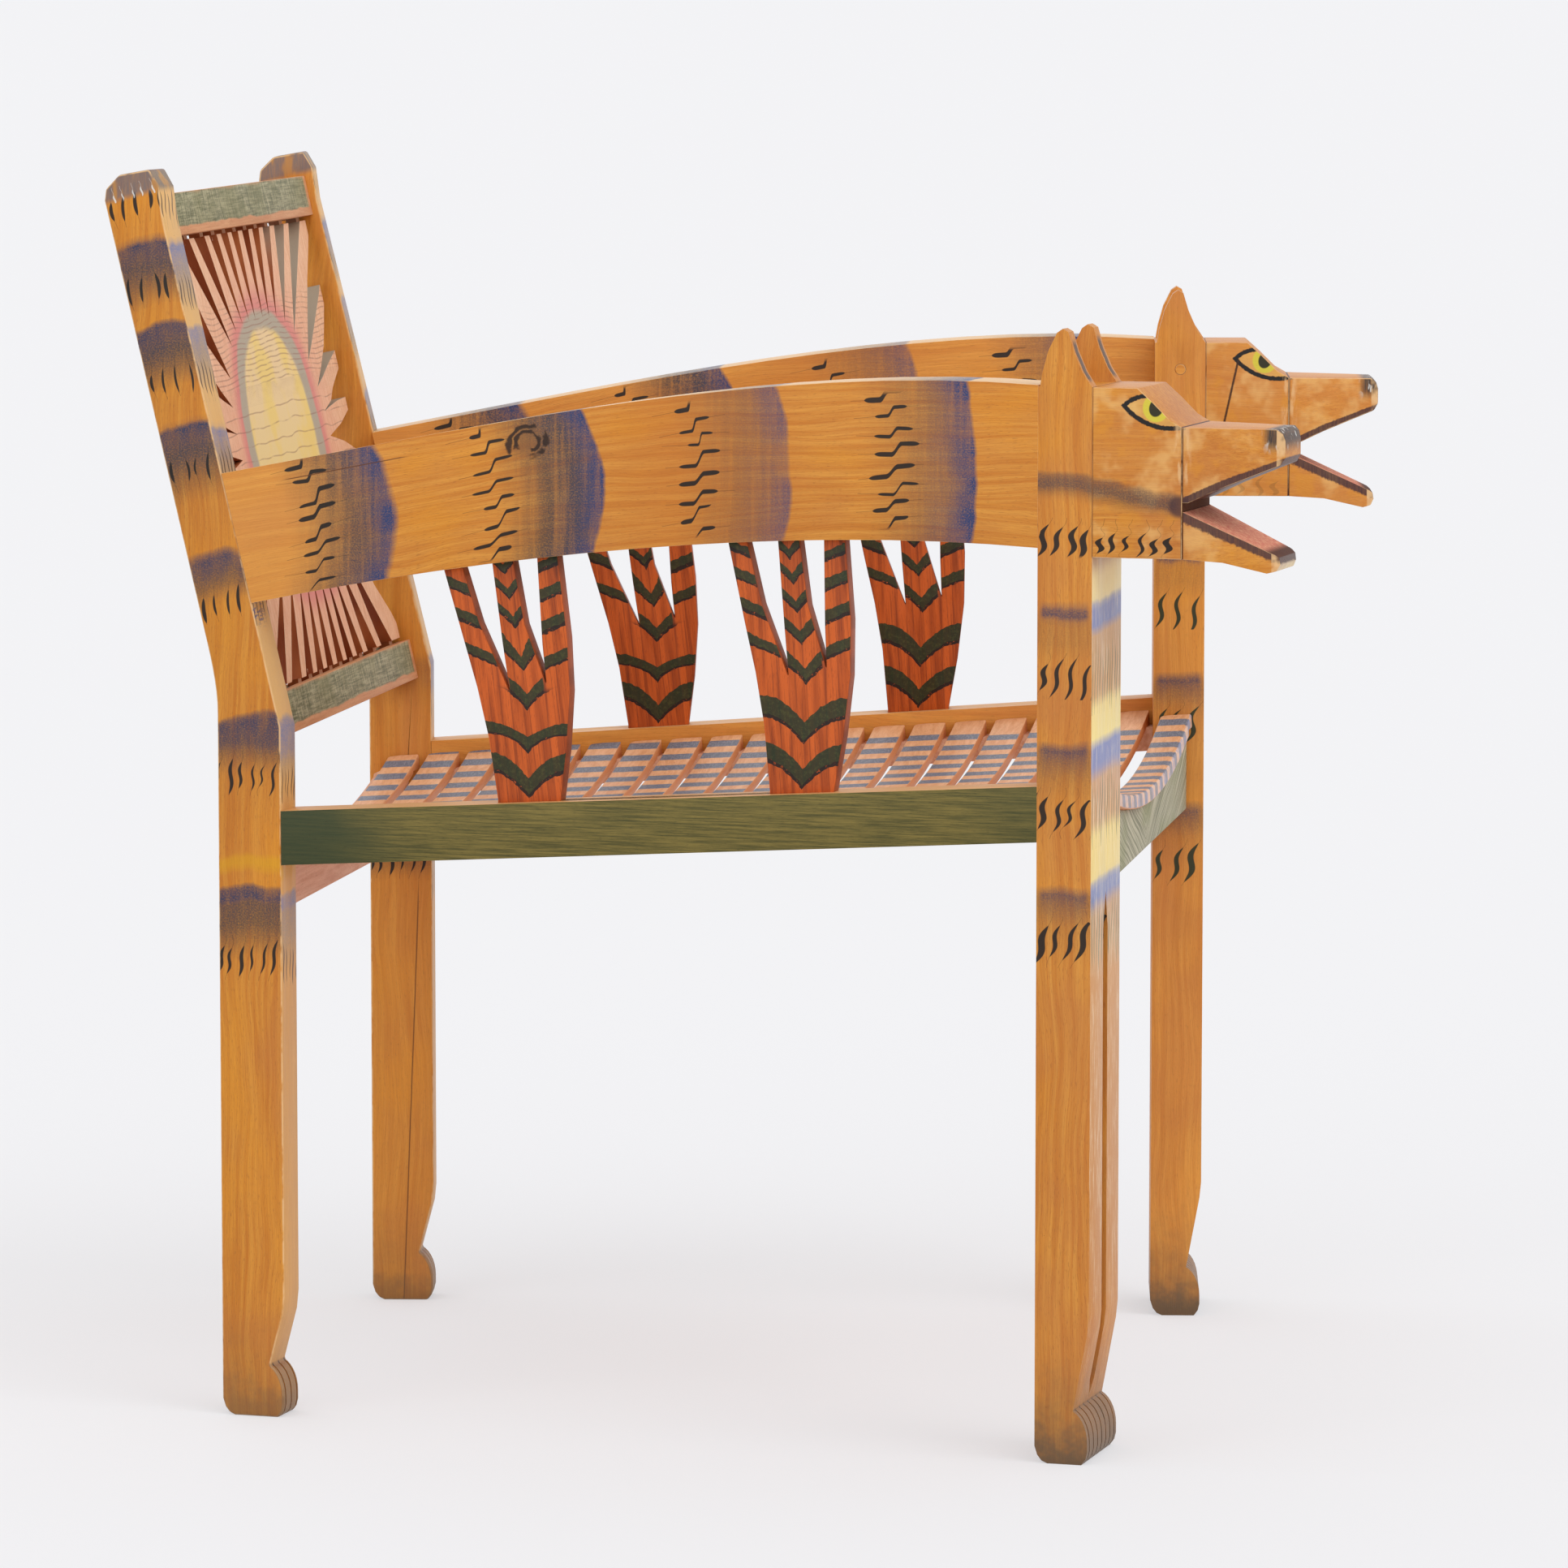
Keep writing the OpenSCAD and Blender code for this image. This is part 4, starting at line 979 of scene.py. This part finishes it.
arm_table = [(0.0, EMPTY)]
for edge, blue, brown in ARM_BANDS:
    for behind, blue_here, brown_here in (
            (-1.0, 0.0, 0.0), (0.8, blue, 0.4 * brown), (9.0, 0.8 * blue, 0.7 * brown),
            (20.0, 0.35 * blue, 0.85 * brown), (40.0, 0.05, 0.7 * brown), (62.0, 0.0, 0.25 * brown),
            (78.0, 0.0, 0.0)):
        arm_table.append((arm_place(edge + behind), (blue_here, brown_here, 0.0)))

arm_finish, r, shader = start_finish("stained arm")
side, s, z, n, place = on_side(r)
line = ARM_LINE[3]
for factor in (ARM_LINE[2], ARM_LINE[1], ARM_LINE[0]):
    line = r.plus(factor, r.times(s, line))
up = r.minus(z, line)
colour, wood = stained(r, side, r.join(s, up, n), r.plus(side["Hand"], 11.0))
colour = r.lay(r.times(r.between(s, -90.0, 20.0, 40.0), 0.4), colour, chip(186, 106, 36))
colour = r.lay(r.fade(s, 180.0, 250.0, 0.0, 0.35), colour, chip(230, 162, 82))
rim = r.fade(r.absolute(side["Face N"]), 0.75, 0.45)
colour = r.lay(r.times(rim, 0.8), colour, chip(226, 188, 134))
wobble = r.sway(place, (0.02, 0.03, 0.05), 3.0, 8.0)
bow = r.times(r.power(r.plus(up, 10.0), 2.0), r.fade(s, 100.0, -200.0, 0.0052, 0.0018))
bowed = r.minus(s, bow)
ragged_place = r.per(r.plus(bowed, wobble, ARM_START), ARM_SCALE)
blue, brown, _ = r.split(r.table(ragged_place, arm_table))
bristle = r.cloud(place, (0.05, 0.9, 0.9), 3.0, 0.72)
scrub = r.cloud(place, (0.22, 0.01, 0.05), 3.0, 0.6)
patch = r.fade(r.cloud(place, (0.02, 0.03, 0.02)), 0.3, 0.6, 0.5, 1.1)
brown = r.times(brown, r.fade(scrub, 0.25, 0.6, 0.6, 1.05), 0.95)
blue = r.times(blue, patch, r.fade(scrub, 0.25, 0.55, 0.7, 1.05))
colour = wash(r, side, brown, colour, SMOKE, bristle)
colour = wash(r, side, blue, colour, chip(44, 60, 104), bristle)
print("arm wood stained and bands laid")

# %% [markdown]
# ## Arms: flicks, knot and cracks
# The flicks lie along the arm, each a single sharp step with blunt ends, in four columns. The outer
# face also has a dark knot with a broken ring round it and a long fine crack towards the back, which
# noise alone would not put in the right place, so both are drawn by distance.

# %% Arm flicks, knot and cracks
ARM_COLUMNS = [-172.0, -36.0, 111.0, 242.0]
KNOT_S, KNOT_UP = 90.0, 32.0

column_table = row_table(ARM_COLUMNS, 24.0, arm_place)
middle, seed, on = r.split(r.table(r.per(r.plus(bowed, ARM_START), ARM_SCALE), column_table, "CONSTANT"))
lying = r.minus(r.minus(r.times(middle, ARM_SCALE), ARM_START), bowed)
marks = flicks(r, lying, up, seed, Pitch=12.6, Half=14.0, Width=1.45, Step=3.6, Snap=6.0, Hold=1.57,
               Tilt=0.05, Blunt=9.0)
faces = broad_faces(r, side)
inner = r.fade(r.absolute(up), 48.0, 44.0)
colour = r.lay(r.times(marks, on, faces, inner, 0.97), colour, INK)

knot = r.distance(r.times(r.minus(s, KNOT_S), 0.8), r.minus(up, KNOT_UP))
knot = r.plus(knot, r.times(r.cloud(place, (0.12, 0.12, 0.05), 3.0), 6.0))
outer = r.times(faces, r.fade(side["Face N"], 0.0, -0.5))
colour = r.lay(r.times(r.fade(knot, 16.0, 6.0), outer, 0.55), colour, chip(128, 84, 48))
crack = r.fade(r.least(r.far(knot, 14.0), r.far(knot, 10.0)), 2.1, 0.8)
crack = r.times(crack, r.fade(r.cloud(place, (0.08, 0.08, 0.1)), 0.40, 0.48))
colour = r.lay(r.times(crack, outer, 0.95), colour, chip(44, 26, 16))
crack = r.far(r.plus(up, r.times(wobble, 0.15)), r.plus(37.0, r.times(s, -0.012)))
crack = r.times(r.fade(crack, 0.55, 0.2), r.between(s, 180.0, 268.0, 4.0), outer)
colour = r.lay(r.times(crack, 0.8), colour, chip(92, 50, 22))
colour = weathered(r, side, colour)
end_finish(r, shader, colour, 0.4, wood["Fine"])
print("arm finish made")

# %% [markdown]
# ## Side rails
# The side rails are olive outside and bare on top. The olive coat is brushed along the rail, greener
# and darker at its back end, and a few white chips show near its lower edge there.

# %% Side rail finish
olive_finish, r, shader = start_finish("olive side rail")
side, s, z, n, place = on_side(r)
colour, wood = stained(r, side, r.join(s, z, n), r.plus(side["Hand"], 21.0))
strokes = r.cloud(place, (0.02, 0.6, 0.5), 4.0, 0.75)
broad = r.cloud(place, (0.012, 0.03, 0.03))
olive = r.lay(r.fade(strokes, 0.32, 0.68), chip(74, 70, 32), chip(126, 110, 54))
olive = r.lay(r.times(r.fade(r.plus(s, r.times(broad, 80.0)), 200.0, 290.0), 0.85), olive, chip(46, 58, 34))
olive = r.lay(r.times(r.fade(s, -200.0, -270.0), 0.4), olive, chip(56, 62, 34))
olive = r.lay(r.times(wood["Flecks"], 0.3), olive, chip(40, 40, 22))
outer = r.fade(side["Face N"], -0.55, -0.8)
colour = r.lay(r.times(r.fade(side["Face Z"], 0.5, 0.8), 0.7), colour, chip(222, 174, 118))
colour = r.lay(outer, colour, olive)
from_middle = r.minus(z, r.minus(408.5, r.times(s, RAIL_DROP)))
chips = r.times(r.fade(r.cloud(place, (0.14, 0.3, 0.3), 3.0, 0.7), 0.50, 0.56),
                r.between(s, 160.0, 208.0, 4.0))
colour = r.lay(r.times(outer, r.fade(from_middle, -14.5, -17.5), chips, 0.8), colour, chip(224, 214, 196))
flat = r.absolute(side["Face N"])
edge = r.times(r.fade(flat, 0.3, 0.6), r.fade(flat, 0.95, 0.8))
colour = r.lay(r.times(edge, 0.55), colour, chip(170, 132, 84))
end_finish(r, shader, colour, 0.45, strokes)
print("side rail finish made")

# %% [markdown]
# ## Back rails
# Pieces that run across the chair read their place straight from the object, and share one unpainted
# beech. The two back rails are grey green in front, brushed both ways with a dry brush, which two
# crossed noises show. A bare strip stays at the lower edge, and their backs and one end are bare too.

# %% Back rail finish
BARE_LIGHT = chip(222, 166, 122)
BARE_DARK = chip(204, 140, 96)
LOW_RAIL_Z = 477.7
RAIL_RISE = 350.2


def cross_place(r):
    """Place in millimetres, as a whole and by axis, and normal of pieces across the chair."""
    spot = r.stretch(r.node("TexCoord").outputs["Object"], MM)
    return spot, r.split(spot), r.split(r.node("NewGeometry").outputs["Normal"])


def bare(r, spot, seed, light=BARE_LIGHT, dark=BARE_DARK):
    """Unpainted beech with its grain across the chair."""
    wood = r.use(beech_group, Place=spot, Seed=seed)
    colour = r.lay(r.fade(wood["Lines"], 0.3, 0.7), dark, light)
    return r.lay(r.times(wood["Flecks"], 0.3), colour, chip(160, 98, 60)), wood


back_rail_finish, r, shader = start_finish("grey green back rail")
spot, (x, _, z), (_, ny, _) = cross_place(r)
colour, wood = bare(r, spot, 31.0)
up = r.calc("MODULO", r.minus(z, LOW_RAIL_Z), RAIL_RISE)
weave = r.cloud(spot, (0.5, 0.06, 0.06), 3.0, 0.8)
scratch = r.plus(r.times(weave, 0.5), r.times(r.cloud(spot, (0.03, 0.6, 0.6), 4.0, 0.8), 0.5))
broad = r.cloud(spot, (0.02, 0.02, 0.02))
green = r.lay(r.fade(scratch, 0.40, 0.62), chip(82, 94, 66), chip(178, 174, 140))
green = r.lay(r.times(r.fade(broad, 0.44, 0.66), 0.4), green, chip(118, 122, 80))
margin = r.plus(up, r.times(r.cloud(spot, (0.03, 0.03, 0.03)), 5.0))
from_end = r.plus(x, r.times(z, 0.029))
painted = r.times(r.fade(ny, -0.5, -0.8), r.fade(margin, 7.5, 9.0), r.fade(from_end, 233.0, 229.0))
worn_top = r.fade(r.plus(up, r.times(broad, 6.0)), 34.0, 30.0, 0.35, 0.93)
colour = r.lay(r.times(painted, worn_top), colour, green)
end_finish(r, shader, colour, 0.6, scratch)
print("back rail finish made")

# %% [markdown]
# ## Front rail and hidden rails
# The front rail has a thin green wash over strongly curved grain. The rings are noise over a height
# that drops to both sides of the middle, so they arch as the sawn board's do. The pieces that no
# brush reached, such as the rear seat rail and the ledgers, are plain beech.

# %% Front rail and plain beech
front_rail_finish, r, shader = start_finish("washed front rail")
spot, (x, _, z), (_, ny, _) = cross_place(r)
colour, wood = bare(r, spot, 37.0)
bent = r.cloud(spot, (0.006, 0.006, 0.012))
slope = r.minus(r.times(z, 0.8), r.times(r.absolute(x), 0.3))
rings = r.noise(r.join(r.times(x, 0.006), 0.0, r.plus(slope, r.times(bent, 22.0))), 3.0, 0.65)
green = r.lay(r.fade(rings, 0.34, 0.62), chip(88, 98, 74), chip(184, 180, 154))
green = r.lay(r.times(r.fade(wood["Clouds"], 0.5, 0.7), 0.55), green, chip(112, 126, 74))
colour = r.lay(r.times(r.fade(ny, -0.5, -0.8), 0.92), colour, green)
end_finish(r, shader, colour, 0.6, rings, 0.0004)

plain_finish, r, shader = start_finish("bare beech")
spot, _, _ = cross_place(r)
colour, wood = bare(r, spot, 41.0, chip(232, 182, 150), chip(212, 152, 120))
end_finish(r, shader, colour, 0.6, wood["Fine"])
print("front rail and plain finishes made")

# %% [markdown]
# ## Slats
# Bare beech with slate-blue bars across the top of each slat. Bars repeat every 31 mm, are pushed a
# little from slat to slat, and have slightly ragged ends. The front slat's rounded nose is paler, the
# bars run on over it more thinly, and it has blue dabs between them. One material serves all the
# slats: the place from front to back says which slat it is.

# %% Slat finish
SLATS_FROM, SLAT_PITCH = -315.0, 30.5
BAR_HALF_PITCH = 15.5

slat_finish, r, shader = start_finish("striped slat")
spot, (x, y, _), (_, ny, nz) = cross_place(r)
board = r.calc("FLOOR", r.per(r.minus(y, SLATS_FROM), SLAT_PITCH))
push, _, _ = r.dice(board, 5.0)
colour, wood = bare(r, spot, board, chip(236, 182, 138), chip(218, 154, 108))
push = r.times(r.minus(push, 0.5), 7.0)
ragged = r.sway(spot, (0.3, 0.25, 0.1), 3.0, 2.0)
phase = r.calc("PINGPONG", r.plus(x, push, ragged), BAR_HALF_PITCH)
bar = r.times(r.fade(phase, 7.4, 8.2), r.fade(r.absolute(x), 246.0, 242.0))
top = r.fade(nz, 0.55, 0.8)
mottle = r.cloud(spot, (0.25, 0.9, 0.3), 3.0, 0.75)
slate = r.lay(r.fade(mottle, 0.4, 0.65), chip(88, 102, 122), chip(132, 138, 150))
nose = r.times(r.fade(y, -272.0, -276.0), r.fade(ny, -0.2, -0.4), r.fade(nz, -0.6, -0.2))
# Painted shade: away from the nose, the slats' sides and undersides are laid darker orange, as shade
# between the slats.
colour = r.lay(r.times(r.fade(nz, 0.4, 0.1), r.opposite(nose), 0.6), colour, chip(206, 124, 62))
colour = r.lay(r.times(nose, 0.6), colour, chip(226, 196, 180))
coat = r.most(top, r.times(nose, 0.75))
colour = r.lay(r.times(bar, coat, r.fade(mottle, 0.2, 0.45, 0.75, 0.97)), colour, slate)
dab = r.cloud(spot, (0.16, 0.12, 0.12), 1.0)
colour = r.lay(r.times(nose, r.fade(dab, 0.50, 0.58), 0.5), colour, chip(136, 146, 184))
end_finish(r, shader, colour, 0.5, wood["Fine"])
print("slat finish made")

# %% [markdown]
# ## Balusters: bars
# Dark green chevrons point down on each baluster, with a black line under each. Painting them needs
# the height above the side rail and the distance from the baluster's bent middle line. That distance,
# taken off the height, turns level bars into chevrons, and the prongs get their own tighter set. The
# rear balusters' chevrons sit a little lower in the middle, and the left ones stand 8 mm further back.

# %% Baluster bars
BALUSTER_S, LEFT_SHIFT, REAR_SHIFT = -104.0, 8.0, 197.0
RAIL_TOP = 430.5
WAIST = 80.0
BODY_BARS = [
    (1.0, 13.5), (32.0, 14.5), (73.0, 11.0), (100.0, 9.5), (122.0, 8.5), (141.0, 8.0), (158.0, 8.0)]
PRONG_BARS = [(84.0, 9.0), (107.0, 9.0), (128.0, 8.5), (147.0, 8.0)]
LINE_MM = 2.4
TABLE_FROM, TABLE_MM = -40.0, 240.0

baluster_finish, r, shader = start_finish("red baluster")
side, s, z, n, place = on_side(r)
is_rear = r.fade(s, -1.0, 1.0)
is_left = r.fade(side["Hand"], -0.5, 0.5)
foot_s = r.plus(BALUSTER_S, r.times(is_left, LEFT_SHIFT), r.times(is_rear, REAR_SHIFT))
height = r.minus(z, r.minus(RAIL_TOP, r.times(r.minus(foot_s, POST_FRONT), RAIL_DROP)))
tip = r.plus(10.0, r.times(is_rear, 10.0))
local = r.minus(r.minus(s, foot_s), r.times(height, tip, 1 / 170))
middle = r.plus(r.times(r.least(height, WAIST), -0.1), r.times(r.most(r.minus(height, WAIST), 0.0), 0.087))
off = r.far(local, middle)
prong = r.times(r.fade(height, WAIST - 6.0, WAIST), r.fade(off, 12.0, 13.5))
wing = r.minus(r.times(off, 1.2), r.times(off, off, 0.02))
ragged = r.sway(place, (0.25, 0.25, 0.2), 3.0, 3.5)
lift = r.minus(r.fade(height, 38.0, 55.0, 0.0, 11.0), r.fade(height, 95.0, 125.0, 0.0, 8.0))
level = r.plus(r.minus(height, wing), ragged, r.times(is_rear, lift))
prong_level = r.plus(r.minus(height, r.times(off, 0.4)), ragged)


def bars(value, rows):
    """Green and black line of painted bars, from (lower edge, height) rows."""
    table = [(0.0, EMPTY)]
    for start, tall in rows:
        low = (start - TABLE_FROM) / TABLE_MM
        table += [(low, (0.0, 1.0, 0.0)), (low + LINE_MM / TABLE_MM, (1.0, 0.0, 0.0)),
                  (low + tall / TABLE_MM, EMPTY)]
    return r.table(r.per(r.minus(value, TABLE_FROM), TABLE_MM), table, "CONSTANT")


green, line, _ = r.split(r.lay(prong, bars(level, BODY_BARS), bars(prong_level, PRONG_BARS)))
print("baluster bars placed")

# %% [markdown]
# ## Balusters: stain
# An orange-red stain lies over lively grain: two stretched noises, a broad and a fine one, give dark
# streaks and veins that follow the bent baluster. The bars are laid on top, mottled as a worn coat is.

# %% Baluster finish
seed = r.plus(is_rear, r.plus(side["Hand"], 51.0))
wood = r.use(beech_group, Place=r.join(z, s, n), Seed=seed)
lively = r.noise(r.join(r.times(z, 0.006), r.times(local, 0.14), 4.0), 3.0, 0.6, 0.4)
colour = r.lay(r.fade(lively, 0.34, 0.62), chip(150, 62, 18), chip(200, 92, 32))
colour = r.lay(r.times(r.fade(lively, 0.40, 0.30), 0.7), colour, chip(84, 34, 16))
veins = r.noise(r.join(r.times(z, 0.012), r.times(local, 0.7), 2.0), 2.0, 0.5, 0.3)
colour = r.lay(r.times(r.fade(veins, 0.44, 0.36), 0.45), colour, chip(112, 46, 20))
colour = r.lay(r.times(wood["Flecks"], 0.35), colour, chip(110, 44, 16))
faces = broad_faces(r, side)
mottle = r.cloud(place, (0.4, 0.4, 0.3), 3.0, 0.8)
leaf = r.lay(r.fade(mottle, 0.48, 0.66), chip(28, 46, 26), chip(52, 64, 32))
colour = r.lay(r.times(green, faces, 0.95), colour, leaf)
colour = r.lay(r.times(line, faces, r.fade(mottle, 0.3, 0.42), 0.97), colour, chip(22, 20, 17))
colour = r.lay(r.times(r.opposite(faces), 0.5), colour, chip(120, 62, 40))
end_finish(r, shader, colour, 0.38, wood["Fine"])
print("baluster finish made")

# %% [markdown]
# ## Sunburst: paint
# A yellow sun inside a grey-green halo, on pink, with the rays left bare. Both are ovals a little
# squarer than an ellipse, which a power of 2.4 in place of 2 gives. The distance from the middle,
# pushed softly by noise, decides the colour, so the painted edges waver as a brush does.

# %% Sunburst paint
SUN_Z = 666.0
SQUARE = 2.4
HALO = (114.0, 100.0)
YELLOW = (95.0, 88.0)

sun_finish, r, shader = start_finish("sunburst panel")
spot, (x, y, z), (_, ny, nz) = cross_place(r)
unpainted, wood = bare(r, r.join(z, x, y), 61.0, chip(242, 196, 160), chip(228, 172, 134))
soft = r.sway(spot, (0.02, 0.02, 0.02), 3.0, 0.12)
up = r.minus(z, SUN_Z)


def oval(wide, tall):
    """1 on a slightly square oval round the sun's middle, less inside and more outside."""
    sideways = r.power(r.absolute(r.per(x, wide)), SQUARE)
    upright = r.power(r.absolute(r.per(up, tall)), SQUARE)
    return r.plus(r.power(r.plus(sideways, upright), 1 / SQUARE), soft)


from_halo = oval(*HALO)
colour = r.lay(r.times(r.fade(from_halo, 1.75, 1.0), 0.35), unpainted, chip(232, 156, 134))
colour = r.lay(r.times(r.fade(from_halo, 1.22, 1.02), 0.75), colour, chip(216, 122, 122))
colour = r.lay(r.times(r.fade(from_halo, 1.03, 0.98), 0.85), colour, chip(172, 172, 150))
patchy = r.fade(r.cloud(spot, (0.03, 0.03, 0.03)), 0.4, 0.62)
yellow = r.lay(r.fade(up, 60.0, -40.0), chip(238, 208, 158), chip(238, 212, 144))
yellow = r.lay(patchy, yellow, chip(240, 209, 126))
colour = r.lay(r.fade(oval(*YELLOW), 1.03, 0.96), colour, yellow)
print("sunburst painted")

# %% [markdown]
# ## Sunburst: pencil lines and sawn walls
# Thin wavy pencil lines run across the sun, closer together near its top. The sawn walls of the slots
# are painted dark and reddish as shade deep in the narrow slots, and painted greyer as light where it
# falls on them at the upper left. The back of the panel was never painted.

# %% Sunburst lines and walls
wave = r.times(r.noise(r.stretch(spot, (0.014, 0.02, 0.006)), 2.0, 0.35), 16.0)
cell = r.calc("PINGPONG", r.plus(z, wave), r.fade(z, 700.0, 715.0, 5.5, 1.9))
pencil = r.times(r.fade(cell, 0.7, 0.3), r.fade(z, 780.0, 765.0), r.fade(z, 560.0, 590.0))
pencil = r.times(pencil, r.fade(r.cloud(spot, (0.05, 0.05, 0.2)), 0.36, 0.55, 0.12, 0.5))
colour = r.lay(pencil, colour, chip(150, 98, 84))
# Painted shade: the slot walls are laid darker and redder than the bare wood, as shade deep in the narrow
# slots.
walls = r.lay(r.fade(wood["Clouds"], 0.4, 0.6), chip(136, 62, 26), chip(172, 96, 52))
# Painted light: the walls at the upper left are laid greyer, where the light falls on them.
walls = r.lay(r.times(r.fade(x, 120.0, 150.0), r.fade(z, 690.0, 720.0), 0.7), walls, chip(156, 122, 98))
walls = r.lay(r.times(r.fade(nz, 0.35, 0.6), r.fade(x, 70.0, 100.0), 0.8), walls, chip(176, 166, 146))
front = r.fade(ny, -0.5, -0.8)
colour = r.lay(r.fade(ny, 0.5, 0.8), r.lay(front, walls, colour), unpainted)
end_finish(r, shader, colour, 0.62, wood["Fine"])
print("sunburst finish made")

# %% [markdown]
# ## Screws
# The ledgers' screws are dull zinc. Metal takes its colour from its reflections, so a soft mottle in
# colour, roughness and relief is all that it needs.

# %% Screw finish
steel_finish, r, shader = start_finish("dull zinc")
dull = r.cloud(cross_place(r)[0], (0.8, 0.8, 0.8), 3.0)
colour = r.lay(dull, chip(140, 138, 132), chip(176, 174, 168))
end_finish(r, shader, colour, 0.45, dull, 0.0001, 0.5)
shader.inputs["Metallic"].default_value = 1.0
print("screw finish made")

# %% [markdown]
# ## Toes
# Saw cuts part the toes: seven across each front paw and three across each rear paw, square to the
# board and about 2 mm deep. Thin slabs stand where the saw went. The wood that stays is an oval block,
# as round as the toe but a little smaller, so that block is first taken out of the slabs, and what is
# left of them cuts the paw. Both cuts are Boolean modifiers, applied at once. Sizes here are metres.

# %% Toe cuts
SAW = 0.0016
SLAB_DEEP, SLAB_TALL, SLAB_Z = 0.020, 0.038, 0.017
SLAB_S = 0.004
CORE_UP, CORE_BACK = 0.0212, 0.0133
CORE_S, CORE_N, CORE_Z = 0.0163, 0.04, 0.015
CORE_LONG = 0.2
TOES = {"front_leg": (-0.3111, GROOVE_FRONT, 7), "rear_post": (0.2731, GROOVE_REAR, 3)}


def side_spot(hand, s, n, z):
    """World place of a point given along the side, inwards and up, in metres."""
    x = hand * (HALF_W / 1000 - s * math.sin(SPLAY) - n * math.cos(SPLAY))
    return (x, s * math.cos(SPLAY) - n * math.sin(SPLAY) - Y_MID / 1000, z)


def carve(target, tool):
    """Takes the tool's shape out of the target, and removes the tool."""
    only(target)
    cut = target.modifiers.new("saw cut", "BOOLEAN")
    cut.operation = "DIFFERENCE"
    cut.solver = "EXACT"
    cut.object = tool
    bpy.ops.object.modifier_apply(modifier=cut.name)
    bpy.data.objects.remove(tool, do_unlink=True)


def cut_toes(piece, hand, front, first, count):
    """Saws the toe grooves into a finished paw."""
    slabs = []
    for i in range(count):
        bpy.ops.object.select_all(action="DESELECT")
        inward = (first + GROOVE_PITCH * i) / 1000
        bpy.ops.mesh.primitive_cube_add(
            size=1.0, location=side_spot(hand, front + SLAB_S, inward, SLAB_Z),
            rotation=(0.0, 0.0, hand * SPLAY), scale=(SAW, SLAB_DEEP, SLAB_TALL))
        slabs.append(bpy.context.object)
    for slab in slabs:
        slab.select_set(True)
    bpy.context.view_layer.objects.active = slabs[0]
    bpy.ops.object.join()
    saw = bpy.context.object
    bpy.ops.object.select_all(action="DESELECT")
    bpy.ops.mesh.primitive_cylinder_add(
        vertices=64, radius=1.0, depth=1.0, location=side_spot(hand, front + CORE_S, CORE_N, CORE_Z),
        rotation=(0.0, math.pi / 2, hand * SPLAY), scale=(CORE_UP, CORE_BACK, CORE_LONG))
    carve(saw, bpy.context.object)
    carve(piece, saw)
    print(piece.name, "has", count, "toe cuts and", len(piece.data.polygons), "faces")


print("toe saw ready")

# %% [markdown]
# ## Dressing the pieces
# Each family of pieces gets its own roundness: sawn boards about a millimetre and a half, the carved
# heads more, and the thin rays of the panel only a little. A row is found by how a piece's name
# begins, so the front slat's row stands before that of the other slats.

# %% Dress all pieces
WORN = {
    "rear_post": (0.0018, 3, post_finish), "front_leg": (0.0018, 3, head_finish),
    "cheek": (0.0022, 3, head_finish), "upper_jaw": (0.0028, 3, head_finish),
    "lower_jaw": (0.0028, 3, head_finish), "arm_right": (0.0022, 3, arm_finish),
    "arm_left": (0.0022, 3, arm_finish), "side_rail": (0.0012, 2, olive_finish),
    "ledger": (0.0010, 1, plain_finish), "front_rail": (0.0012, 2, front_rail_finish),
    "rear_rail": (0.0012, 2, plain_finish), "back_": (0.0012, 2, back_rail_finish),
    "sun_panel": (0.0006, 1, sun_finish), "baluster": (0.0010, 2, baluster_finish),
    "slat_pins": (0.0003, 1, plain_finish), "slat_front": (0.0030, 3, slat_finish),
    "slat_": (0.0016, 2, slat_finish), "head_dowels": (0.0004, 1, plain_finish),
    "arm_pins": (0.0005, 1, arm_finish), "ledger_screws": (0.0003, 1, steel_finish)}

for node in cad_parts:
    key = next(name for name in WORN if node.startswith(name))
    width, steps, finish = WORN[key]
    piece = copy_of(node)
    round_edges(piece, width, steps)
    if key in TOES:
        cut_toes(piece, 1 if node.endswith("left") else -1, *TOES[key])
    hand_in(piece, node, finish)
print("dressed", len(made), "pieces")
